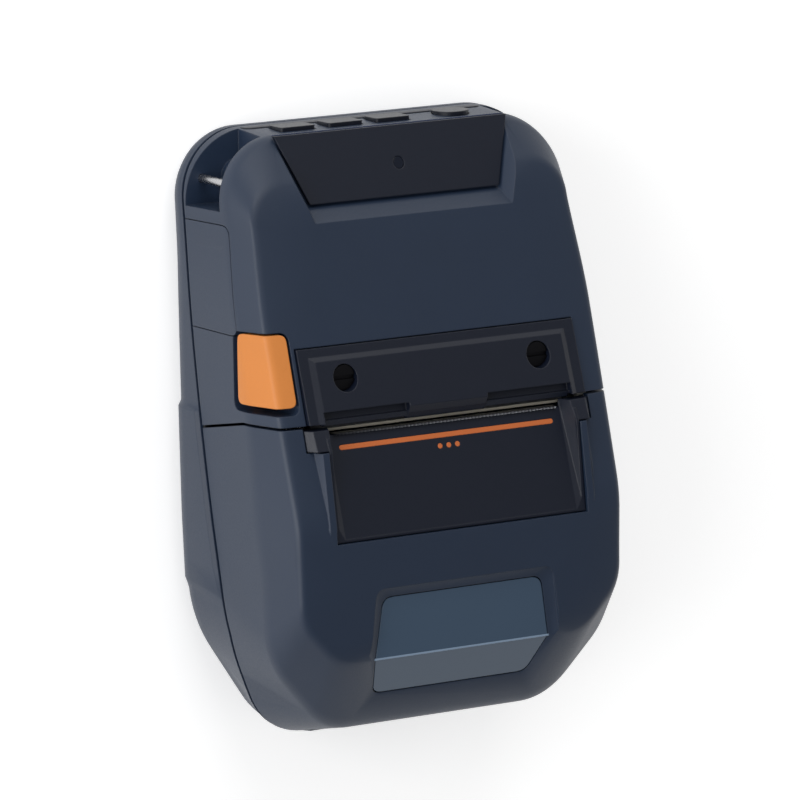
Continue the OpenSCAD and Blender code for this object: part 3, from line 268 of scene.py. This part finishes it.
def prism(outline, low, high, axis="x"):
    """Outline drawn out from low to high along an axis, its points given in the two other directions."""
    p = np.asarray(outline, float)
    area = np.sum(p[:, 0] * np.roll(p[:, 1], -1) - np.roll(p[:, 0], -1) * p[:, 1])
    if area < 0:
        p = p[::-1]
    n = len(p)
    if axis == "x":
        points = [(low, a, b) for a, b in p] + [(high, a, b) for a, b in p]
    elif axis == "y":
        points = [(a, high, b) for a, b in p] + [(a, low, b) for a, b in p]
    else:
        points = [(a, b, low) for a, b in p] + [(a, b, high) for a, b in p]
    faces = [tuple(range(n - 1, -1, -1)), tuple(range(n, 2 * n))]
    faces += [(i, (i + 1) % n, n + (i + 1) % n, n + i) for i in range(n)]
    return solid("cutter", points, faces)


def block(x0, y0, z0, x1, y1, z1):
    """Box between two corners."""
    return prism([(x0, y0), (x1, y0), (x1, y1), (x0, y1)], z0, z1, "z")


def rod(u, v, radius, low, high, axis="z", n=48):
    """Round bar or bore; u and v are its middle in the two other directions."""
    a = np.linspace(0, 2 * np.pi, n, endpoint=False)
    return prism(np.stack([u + radius * np.cos(a), v + radius * np.sin(a)], 1), low, high, axis)


def boolean(piece, others, operation="DIFFERENCE"):
    """Cuts the others from a piece, or joins or keeps what they share, and removes them. They are joined
    with each other first, so that the piece itself is worked on once, by the exact solver."""
    steps = [(others[0], other, "UNION") for other in others[1:]] + [(piece, others[0], operation)]
    for target, other, kind in steps:
        step = target.modifiers.new("step", "BOOLEAN")
        step.operation = kind
        step.object = other
        step.solver = "EXACT" if target is piece else "MANIFOLD"
        bpy.context.view_layer.update()
        made = bpy.data.meshes.new_from_object(target.evaluated_get(bpy.context.evaluated_depsgraph_get()))
        target.modifiers.clear()
        old, target.data = target.data, made
        bpy.data.meshes.remove(old)
        used = other.data
        bpy.data.objects.remove(other)
        bpy.data.meshes.remove(used)
    return piece


def both_sides(make):
    """A shape and its mirror image across the middle."""
    out = []
    for side in (1, -1):
        shape = make()
        if side < 0:
            for vertex in shape.data.vertices:
                vertex.co.x *= -1
            shape.data.flip_normals()
        out.append(shape)
    return out


def dress(piece, material, body, replaced):
    """Gives a piece its material and smooth shading, and its place in the frame."""
    piece.data.materials.clear()
    piece.data.materials.append(material)
    weld = piece.modifiers.new("weld", "WELD")
    weld.merge_threshold = 0.01 * MM
    bpy.context.view_layer.update()
    made = bpy.data.meshes.new_from_object(piece.evaluated_get(bpy.context.evaluated_depsgraph_get()))
    piece.modifiers.clear()
    piece.data = made
    made.shade_smooth()
    made.set_sharp_from_angle(angle=math.radians(30))
    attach(piece, body)
    if replaced:
        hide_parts(*replaced)


navy = moulded("navy_pc_abs_eroded", "#1F2D42")
back_in, back_r, seam_gap = 9.0, 11.0, 1.5


def back_z(y):
    """Height at which the back's rounding ends."""
    return np.minimum(back_r, seam_z(y) - 2.4)


def padded(half, share):
    """The half outline with the grip pad standing proud of it."""
    y = half[:, 1]
    rise = 1.1 * np.clip((9.9 - y) / 0.8, 0, 1) * np.clip((y + 44.5) / 2, 0, 1)
    return np.column_stack([half[:, 0] + rise * share, y])


def ring_back(degrees):
    """Ring of the back's rounding, from 90 degrees at the flat to 0 at the side wall."""
    a = math.radians(degrees)
    half = plan_rear(back_in * (1 - math.cos(a)))
    return ring(padded(half, math.cos(a)), back_z(half[:, 1]) * (1 - math.sin(a)))


def ring_seam(t, rise):
    """Ring that follows the seam, raised above it."""
    half = plan_seam(t)
    return ring(half, seam_z(half[:, 1]) + rise)


def above_seam(y):
    """Height at which the front half begins."""
    return float(seam_z(y)) + seam_gap / 2


rim = 0.12 * plan_rear(0.1) + 0.88 * plan_seam(0.1)
rear = loft("rear_shell", [ring_back(a) for a in np.linspace(90, 0, 10)]
            + [ring(padded(rim, 1), seam_z(rim[:, 1]) - 1.8), ring_seam(0.1, -seam_gap / 2)])
low, high = plan_rear(back_in + wall - 1), plan_rear(wall + 1)
hollow = loft("hollow", [ring(low, np.full(len(low), wall + 0.1)),
                         ring(high, np.maximum(back_z(high[:, 1]) - 0.5, wall + 2)),
                         ring_seam(wall + 0.4, 4)])
hinge_y, hinge_z, hinge_w, bay_a, bay_b, bay_x = -82.8, 23.5, 33.8, 9.0, 71.6, 38.3
boolean(hollow, both_sides(lambda: block(hinge_w + 0.3, hinge_y - 6, 0,
                                         hinge_w + 4.9, hinge_y + 6, hinge_z + 3.2))
        + both_sides(lambda: block(48.5, 72.2, 0, 57.5, 79, 9.2))
        + both_sides(lambda: block(8.3, bay_b, 0, 9.9, bay_b + 9, 6.7))
        + both_sides(lambda: block(7, bay_b, 5.9, 9, bay_b + 9, 6.7))
        + [block(-3, bay_b + 7.3, 0, 3, bay_b + 10.3, 6)])
boolean(rear, [hollow])
screw_at = [(-47.5, 62), (47.5, 62), (-47.5, 33.5), (47.5, 33.5)]
stand_at = [(-36, 40), (36, 40), (-36, 69), (36, 69)]
foot_at, bar_at, bar_bore, post_r = (37, 27), (52.6, 75.6), 1.27, 3.2
boolean(rear, [block(-bay_x - 1.6, bay_a - 1.6, 1, bay_x + 1.6, bay_b + 1.6, 21.9)]
        + [rod(x, y, post_r, 1, above_seam(y)) for x, y in screw_at]
        + [rod(x, y, 2.6, 21.4, 23.4) for x, y in stand_at], "UNION")
boolean(rear, [block(-bay_x, bay_a, -1, bay_x, bay_b, 20), block(-12, bay_b - 8, 19, 12, bay_b - 4, 25),
               block(-8.3, bay_b - 1, 2.3, 8.3, bay_b + 2, 5.9),
               block(-5.8, bay_b + 2, -1, 5.8, bay_b + 6.9, 2.5),
               block(-hinge_w - 0.3, -end_y - 3, hinge_z - 5.3, hinge_w + 0.3, -end_y + 9, hinge_z + 14.7),
               rod(hinge_y, hinge_z, 4.9, -hinge_w - 0.3, hinge_w + 0.3, "x"),
               rod(hinge_y, hinge_z, 1.52, -38.7, 38.7, "x")]
        + both_sides(lambda: rod(*bar_at, bar_bore, 5.4, 25.4))
        + [rod(x, y, 1.6, -1, 39) for x, y in screw_at] + [rod(x, y, 3.05, -1, 2.8) for x, y in screw_at]
        + both_sides(lambda: rod(*foot_at, 1.32, 20.5, 24.5))
        + [rod(x, y, 1.12, 21.9, 26) for x, y in stand_at])
dress(rear, navy, "base", ["rear_casing"])

# Front casing: the front half over the keys and the mechanism, moulded like the rear in the same navy. Its
# side walls lean in, a wide bevel joins them to the sloped face, and two horns frame the control panel.


def side_z(y):
    """Height of the crease where the side wall meets the bevel."""
    return curve([(top_y - 0.9, 28.8), (75, 32.2), (62, 34.7), (44, 39), (36, 41.5), (8.5, 47.2), (-20, 50.4),
                  (-36, 53), (-59, 54), (-83, 51)], y)


face_fall, face_bend, bend_half = 0.2965, -19.5, 5


def slope_z(y):
    """Height of the face's even slope."""
    return float(face_h - face_fall * (y - face_bend))


def face_z(y):
    """Height of the face: level at the cover, then a soft bend and the even slope to the key end."""
    y = np.asarray(y, float)
    turning = face_fall * (y - (face_bend - bend_half))**2 / (4 * bend_half)
    fall = np.where(y > face_bend + bend_half, face_fall * (y - face_bend),
                    np.where(y < face_bend - bend_half, 0, turning))
    return face_h - fall - 0.6 * np.clip((-y - 54) / 6, 0, 1)


def plan_side(t):
    """Half outline at the crease between side wall and bevel."""
    return half_plan([half_w - 2.3 - t, half_w - 0.5 - t, half_w - 0.7 - t, half_w - 1.2 - t],
                     top_y - 0.9 - t, corner_r - t * 0.8, [half_w - 1.2 - t, -60],
                     [37.5 - t * 0.6, -end_y + 7.6 + t], 9, 9)


def plan_face(t):
    """Half outline at the crease between bevel and face."""
    return half_plan([face_w - 1.7 - t, face_w - t, face_w - 0.2 - t, face_w - 0.6 - t], top_y - 13.2 - t, 11,
                     [face_w - 0.8 - t, -46], [41 - t * 0.6, -end_y + 29.9 + t], 6, 6)


def plan_crown(t):
    """Half outline well inside the face, which gives it a slight crown."""
    return half_plan([face_w - 14 - t, face_w - 12 - t, face_w - 12 - t, face_w - 12 - t],
                     top_y - 19.2 - t, 8, [face_w - 12.5 - t, -44], [34 - t * 0.6, -end_y + 33.9 + t], 4, 4)


def ring_side(t):
    """Ring at the crease between side wall and bevel."""
    half = plan_side(t)
    return ring(half, side_z(half[:, 1]) - t * 0.5)


def ring_face(t):
    """Ring at the crease between bevel and face."""
    half = plan_face(t)
    return ring(half, face_z(half[:, 1]) - t * 0.9)


def ring_crown(t):
    """Ring inside the face, raised to crown it."""
    half = plan_crown(t)
    return ring(half, face_z(half[:, 1]) + 1.3 - t)


def crease(a, b, c, u, v):
    """Rings of a rounded crease at b, from a share u of the way to a to a share v of the way to c."""
    p, q = b + (a - b) * u, b + (c - b) * v
    return [(1 - t)**2 * p + 2 * t * (1 - t) * b + t**2 * q for t in np.linspace(0, 1, 8)]


def front_skin(name):
    """The whole outer form above the seam, shared by casing, cover, door and lever."""
    a, b, c, d = ring_seam(0, seam_gap / 2), ring_side(0), ring_face(0), ring_crown(0)
    inward = [c + (d - c) * s - [0, 0, 1.3 * s] + [0, 0, 1.3 * (1 - (1 - s / 1.5)**2)]
              for s in (0.3, 0.55, 0.8, 1.05, 1.3, 1.5)]
    return loft(name, [a] + crease(a, b, c, 0.1, 0.16) + crease(b, c, inward[0], 0.13, 0.55) + inward)


def front_hollow():
    """Inner form of the front half, one wall inside the skin."""
    return loft("hollow", [ring_seam(wall, -6), ring_side(wall), ring_face(wall), ring_crown(wall)])


def beyond_split(way, d):
    """All space on one side of the line between casing and cover."""
    return prism([(way * 120, -5), (4.6 + d, -5), (4.6 + d, 20), (8.9 + d, 44), (8.9 + d, 90),
                  (way * 120, 90)], -70, 70)


def strap_pocket(d):
    """Corner pocket round a strap bar, d larger all round."""
    plan = np.concatenate([[(60.5 + d, 68.2 - d), (46.4 - d, 68.2 - d)],
                           bend((46.4 - d, 74.5), (46.4 - d, 80.6 - d), (40.4 - d, 80.6 - d), 8),
                           [(40.4 - d, 94 + d), (60.5 + d, 94 + d)]])
    room = prism(plan, 0, 50, "z")
    return boolean(room, [prism([(60, 13.2 - d), (98, 13.2 - d), (98, 24.4 + d), (60, 32 + d)], 38, 64)],
                   "INTERSECT")


def panel_pocket():
    """Sunk place of the control panel, its side walls leaning outward."""
    half = {z: np.array([(x + 0.5 * (z - f), y) for y, f, x in
                         ((96, 26.8, 41.6), (89, 29.6, 39.3), (68.5, 37.4, 31.8), (63, 45.4, 33))])
            for z in (22, 62)}
    sides = loft("cutter", [ring(half[z], np.full(4, z)) for z in (22, 62)])
    slope = prism([(63.3, 45.4), (68.5, 37.4), (88.6, 29.6), (94.2, 26), (94.2, 70), (63.3, 70)], -60, 60)
    return boolean(sides, [slope], "INTERSECT")


def lever_space(a, b, x, z, r):
    """Room with rounded corners that opens sideways and upward."""
    side = prism(np.concatenate([[(b, 79), (a, 79)], bend((a, z + r), (a, z), (a + r, z), 8),
                                 bend((b - r, z), (b, z), (b, z + r), 8)]), -62.6, x)
    plan = prism(np.concatenate([[(-64, b), (-64, a)], bend((x - r, a), (x, a), (x, a + r), 8),
                                 bend((x, b - r), (x, b), (x - r, b), 8)]), z - 1, 78, "z")
    return boolean(side, [plan], "INTERSECT")


def door_room(d, inward):
    """Room of the port door: its outline as far in as a plane that leans with the side wall."""
    a, b = 49 - 15.3 + d, 49 + 15.3 - d
    outline = np.concatenate([[(a, 5), (b, 5)], bend((b, 31), (b, 34.1 - d), (b - 3, 34.7 - d), 8),
                              [(44, 38.7 - d)], bend((a + 3, 40.6 - d), (a, 41.4 - d), (a, 38), 8)])
    x, lean = -half_w + 1.6 + inward, math.tan(math.radians(4.8))
    leaning = prism([(-70, -10), (x - 20 * lean, -10), (x + 40 * lean, 50), (-70, 50)], 20, 80, "y")
    return boolean(prism(outline, -63.5, -48), [leaning], "INTERSECT")


front = front_skin("front_shell")
hollow = front_hollow()
well_z, lever_a, lever_len = 20.6, 14.6, 20.2
lever_pin, pin_bore, bezel_at, key_gap = (19, 44), 1.52, (32.2, 21.5), 0.25
boolean(hollow, both_sides(lambda: strap_pocket(1.6))
        + [prism([(61, 44.6), (66.2, 35.4), (88.6, 27.4), (88.6, 40), (61, 60)], -42, 42),
           block(-62, 11.2, 37, -45.4, 37.6, 67.5), block(-61.3, 30.9, 4, -52.5, 65.8, 42.9),
           block(-60.7, 38.2, well_z - 1.8, -47.9, 59.8, well_z + 13.8)]
        + both_sides(lambda: rod(*bezel_at, 4.4, 44, 64))
        + [rod(x, y, post_r, above_seam(y), above_seam(y) + 9) for x, y in screw_at]
        + [block(min(x, x + math.copysign(11, x)), y - 1, above_seam(y),
                 max(x, x + math.copysign(11, x)), y + 1, above_seam(y) + 9) for x, y in screw_at]
        + both_sides(lambda: block(33.9, top_y - 7.4, 14, 37.3, top_y + 1.6, 26)))
boolean(front, [hollow])
lever_room = lever_space(lever_a - 2.2, lever_a + lever_len + 0.6, -47.4, 39, 3)
boolean(lever_room, [block(-54.4, 16.8, 38, -52.4, 21.2, 46)])
key_z, key_w, key_h, key_xs, power_x, power_bore = 21.0, 11.4, 7.6, (-27, -11.2, 4.6), 26, 5.65


def key_openings(low, high):
    """Openings of the three square keys and the round one."""
    half_x, half_z = key_w / 2, key_h / 2
    return [block(x - half_x - key_gap, low, key_z - half_z - key_gap,
                  x + half_x + key_gap, high, key_z + half_z + key_gap)
            for x in key_xs] + [rod(power_x, key_z, power_bore, low, high, "y")]


boolean(front, [beyond_split(-1, 0.4), panel_pocket(), block(-43.5, 5, 40, 43.5, 27.4, 80),
                prism([(5, slope_z(5) + 0.1), (30.6, slope_z(30.6) + 0.1), (30.6, 80), (5, 80)], -46.3, 46.3),
                lever_room, block(-52.1, 12.6, 36, -47.4, 21.2, 40),
                rod(*lever_pin, pin_bore, -58, -44, "x")]
        + both_sides(lambda: rod(*bezel_at, 1.47, 43, 63)) + both_sides(lambda: strap_pocket(0))
        + both_sides(lambda: rod(*bar_at, bar_bore, 8, 31.4))
        + key_openings(top_y - 8, top_y + 4) + [door_room(-0.25, 0.3),
                                                block(-59.4, 40, well_z, -49.7, 58, well_z + 12),
                                                block(-50, 44.2, 24.9, -46, 53.8, 28.6)]
        + [rod(x, y, 1.42, 0, float(seam_z(y)) + 8) for x, y in screw_at])
dress(front, navy, "base", ["front_casing"])

# Panel skirt: a sliver of black ABS low on the key face, in the control panel's grain. It ends below the
# square keys, so the face round them is the casing's navy. A polished bead follows the panel's ridge,
# coloured lighter than the panel as a painted highlight along the ridge.
skirt_piece = boolean(front_skin("panel_skirt"), [block(-39.5, 88.9, 12.6, 39.5, 92, 28.6)], "INTERSECT")
boolean(skirt_piece, key_openings(80, 95))
for vertex in skirt_piece.data.vertices:
    vertex.co.y += 0.12 * MM
trim = moulded("black_abs_eroded", "#0B1324", rough=0.42)
dress(skirt_piece, trim, "base", None)
ridge = rod(88.42, 29.75, 0.32, -38.5, 38.5, "x", 20)
ridge.name = "panel_ridge"
# The ridge bead's lighter blue-grey is a painted highlight along the panel's ridge, not the panel's own
# colour.
dress(ridge, moulded("black_abs_ridge_painted_highlight", "#2A3550", rough=0.25, depth=0.0), "base", None)

# Port door: a moulded soft flap that lies flush in the side wall between the seam and the bevel, in the
# casing's colour and grain. It bends open at its key end, and a rim on its back plugs the port's well.
door = boolean(front_skin("port_flap"), [door_room(0, 0)], "INTERSECT")
plug = block(-56.9, 41, well_z + 0.3, -54, 57.7, well_z + 11.7)
boolean(plug, [block(-58, 42.4, well_z + 1.7, -53, 56.3, well_z + 10.3)])
boolean(door, [plug], "UNION")
dress(door, navy, "port_flap", ["port_door"])

# Release lever: moulded in orange ABS in a finely blasted mould, which gives an even satin colour. It is
# hollow behind, turns on a steel pin and reaches the crank of the lift shaft with a small fork.
orange = moulded("orange_abs_blasted", "#D6833A", rough=0.5, grain_mm=0.7, depth=0.05, speck=0.07)
lever = boolean(front_skin("lever_skin"), [lever_space(lever_a, lever_a + lever_len, -48.2, 41.4, 2.2)],
                "INTERSECT")
lift_shaft, crank_len = np.array([12.5, 29.5]), 7
crank_u = (lever_pin - lift_shaft) / math.hypot(*(lever_pin - lift_shaft))
crank_n = np.array([-crank_u[1], crank_u[0]])
crank_p = lift_shaft + crank_len * crank_u


def off_crank(start, a, b):
    """Point a along the crank and b across it from the start."""
    return tuple(np.array(start) + a * crank_u + b * crank_n)


boolean(lever, [prism([off_crank(crank_p, -2.4, -2.4), off_crank(crank_p, -2.4, 2.4),
                       off_crank(lever_pin, 0, 2.8), off_crank(lever_pin, 0, -2.8)], -51.8, -50)], "UNION")
boolean(lever, [rod(*lever_pin, pin_bore, -57.2, -41, "x"),
                block(-56.2, lever_a + 1.6, 30, -51.8, 33, 45),
                block(-56.2, lever_a + 1.6, 30, -51.8, 22.7, 47),
                block(-51.9, lever_a + 6, 30, -49.8, 33, 46.4),
                prism([off_crank(crank_p, -4, -1.15), off_crank(crank_p, -4, 1.15),
                       off_crank(crank_p, 1.6, 1.15), off_crank(crank_p, 1.6, -1.15)], -53, -49)])
dress(lever, orange, "lever", ["release_lever"])

# Roll cover: the moulded lid over the paper roll, in the casing's navy, with a raised frame round its
# insert, a sloped surround for the window and a hinge barrel at its far end.
cover = front_skin("cover_shell")
hollow = front_hollow()
win_w, win_fold, win_fall, win_pane, pane_t, pane_in = 29.2, -59.6, 0.66, -2.85, 1.8, 1.0


def win_line(d):
    """Folded line of the window seen from the side, d below its surface."""
    return [(-30, face_h + 0.9 - d), (win_fold, face_h - 0.3 - d),
            (-80, face_h - 0.3 - win_fall * (80 + win_fold) - d * 1.2)]


def win_band(d1, d2):
    """Folded slab between two depths, wider than the window."""
    return prism(win_line(d1) + win_line(d2)[::-1], -40, 40)


def win_half(d):
    """Half outline of the window in plan, d larger all round."""
    w, y0, y1, r = win_w + d, -38.9 + d, -74 - d, 3.2
    return np.concatenate([bend((w - r, y0), (w, y0), (w + 0.12 * r, y0 - r), 8), [(w + 2.5, win_fold)],
                           bend((w + 0.1, y1 + r), (w - 0.4, y1), (w - 0.4 - r, y1), 8)])


def win_ring(d, rise):
    """Ring of the window's outline laid on its folded line."""
    half = win_half(d)
    (y0, z0), (y1, z1), (y2, z2) = win_line(0)
    return ring(half, np.interp(half[:, 1], [y2, y1, y0], [z2, z1, z0]) + rise)


def win_prism(d):
    """Upright prism of the window's outline."""
    half = win_half(d)
    return prism(ring(half, np.zeros(len(half)))[:, :2], 30, 90, "z")


boolean(hollow, [boolean(win_band(-9, pane_in + pane_t + 2.2), [win_prism(1.4)], "INTERSECT")])
boolean(cover, [hollow])


foot_w, crest_w = 46.4, 44
frame_points = []
for y, rise in ((-30.5, 0.36), (-24, 0.7), (face_bend, 1.1), (2, 3.9)):
    foot_z = (slope_z(y) if y > face_bend else face_h) - 1.2
    crest_z = (slope_z(y) if y > face_bend else face_h) + rise
    frame_points += [(foot_w, y, foot_z), (crest_w, y, crest_z), (-crest_w, y, crest_z), (-foot_w, y, foot_z)]
frame_faces = [(3, 2, 1, 0), tuple(range(12, 16))]
frame_faces += [(4 * k + i, 4 * k + (i + 1) % 4, 4 * k + 4 + (i + 1) % 4, 4 * k + 4 + i)
                for k in range(3) for i in range(4)]
raised = solid("cutter", frame_points, frame_faces)
raised.data.flip_normals()
skirt = prism([(-end_y + 2.5, hinge_z), (-end_y + 3.35, 30.6), (-end_y + 4.2, 36), (-end_y + 6.6, 36),
               (-end_y + 6, 30), (-end_y + 5.4, hinge_z)], -hinge_w, hinge_w)
boolean(cover, [raised, skirt, rod(hinge_y, hinge_z, 4.4, -hinge_w, hinge_w, "x")], "UNION")
insert_w = 41.6
boolean(cover, [beyond_split(1, -0.4), block(-insert_w - 0.3, -24.3, 50, insert_w + 0.3, 35.7, 80)]
        + both_sides(lambda: block(insert_w, 1.8, 50, insert_w + 6, 11.8, 80))
        + [loft("cutter", [win_ring(win_pane + 0.45, -pane_in), win_ring(0.2, 0.5), win_ring(0.2, 9)]),
           boolean(win_band(-9, pane_in + pane_t + 0.5), [win_prism(win_pane + 0.25)], "INTERSECT"),
           win_prism(win_pane - 2.05), rod(hinge_y, hinge_z, 1.53, -40, 40, "x")])
dress(cover, navy, "cover", ["roll_cover"])

# Carried-over pieces: every other part keeps its shape from the CAD and takes the finish of the real one.
# Keys are satin, rubber is matt, gears and bushes are smooth waxy acetal, boards have glossy green resist and
# the print head is glazed. The window is polished, its smoked plastic dark enough to be drawn opaque.
key_black = moulded("black_keys_satin", "#0D1220", rough=0.42, depth=0.01)
rubber = moulded("black_rubber_moulded", "#101114", rough=0.7)
acetal = moulded("white_acetal_moulded", "#D8D8D2", rough=0.35, depth=0.0)
green = moulded("green_solder_resist", "#1E5A38", rough=0.3, depth=0.0)
smoke = moulded("smoke_polycarbonate", "#3E5064", rough=0.1, depth=0.0, speck=0.02)
stripe_orange = moulded("orange_inlay_moulded", "#C96A34", rough=0.45)
ceramic = moulded("glazed_ceramic", "#D8D2C2", rough=0.2, depth=0.0)


def metal(name, hex_colour, rough):
    """Bright metal with fine random scratches in its gloss."""
    material = surface(name)
    place = add(material, "ShaderNodeTexCoord")
    streak = add(material, "ShaderNodeTexNoise", {"Vector": place.outputs["Object"]},
                 Scale=1 / (0.8 * MM), Detail=3.0)
    gloss = add(material, "ShaderNodeMapRange", {"Value": streak.outputs["Fac"]}, To_Min=rough * 0.8,
                To_Max=rough * 1.3)
    shader = add(material, "ShaderNodeBsdfPrincipled", {"Roughness": gloss.outputs[0]},
                 Base_Color=linear(hex_colour), Metallic=1.0)
    return finish_with(material, shader.outputs[0])


# Drawn steel and plated zinc shine, black oxide stays dull, gilt contacts glow warm, and the tear bar is
# darkened so that only its teeth stand out.
steel = metal("bright_steel_drawn", "#B9B9BB", 0.25)
zinc = metal("zinc_plated_steel", "#A9ABAE", 0.35)
gilt = metal("gilt_bronze_contacts", "#D9B45A", 0.25)
oxide = metal("black_oxide_steel", "#2B2B2E", 0.4)
# Tear bar steel: a darker grey than the bright steel.
darkened_tear_steel = metal("tear_bar_darkened_steel", "#77797E", 0.3)

# Window fold: a fine polished bead along the pane's fold, coloured much lighter than the pane as a painted
# highlight for the bright line that runs along the fold. It rides on the cover with the pane.
bead = loft("window_fold", [ring(np.array([(x, win_fold + y) for x, y in ((29.3, 0.3), (29.3, -0.3))]),
                                 np.full(2, z)) for z in (65.6, 66.28)])
# The bead's pale blue-grey is a painted highlight on the fold, not the pane's own colour.
dress(bead, moulded("smoke_polycarbonate_painted_highlight", "#7F93AA", rough=0.2, depth=0.0, speck=0.02), "cover", None)

by_slot = {"grey_case": navy, "navy_case": navy, "black_rubber": rubber, "black_trim": trim,
           "key_gloss": key_black, "smoke_window": smoke, "orange_plastic": stripe_orange,
           "black_plastic": trim, "white_plastic": acetal, "steel_parts": steel, "dark_screws": oxide,
           "zinc_parts": zinc, "alloy_sink": zinc, "ceramic_head": ceramic, "board_green": green,
           "gilt_contacts": gilt}
for part in frame["record"]["subparts"]:
    piece = nodes[part["node"]]
    piece.data.materials.clear()
    piece.data.materials.append(by_slot[part["material_slot"]])
nodes["tear_bar"].data.materials[0] = darkened_tear_steel
nodes["indicator_lens"].data.materials[0] = moulded("smoked_lens_unlit", "#0E1524", rough=0.15, depth=0.0)
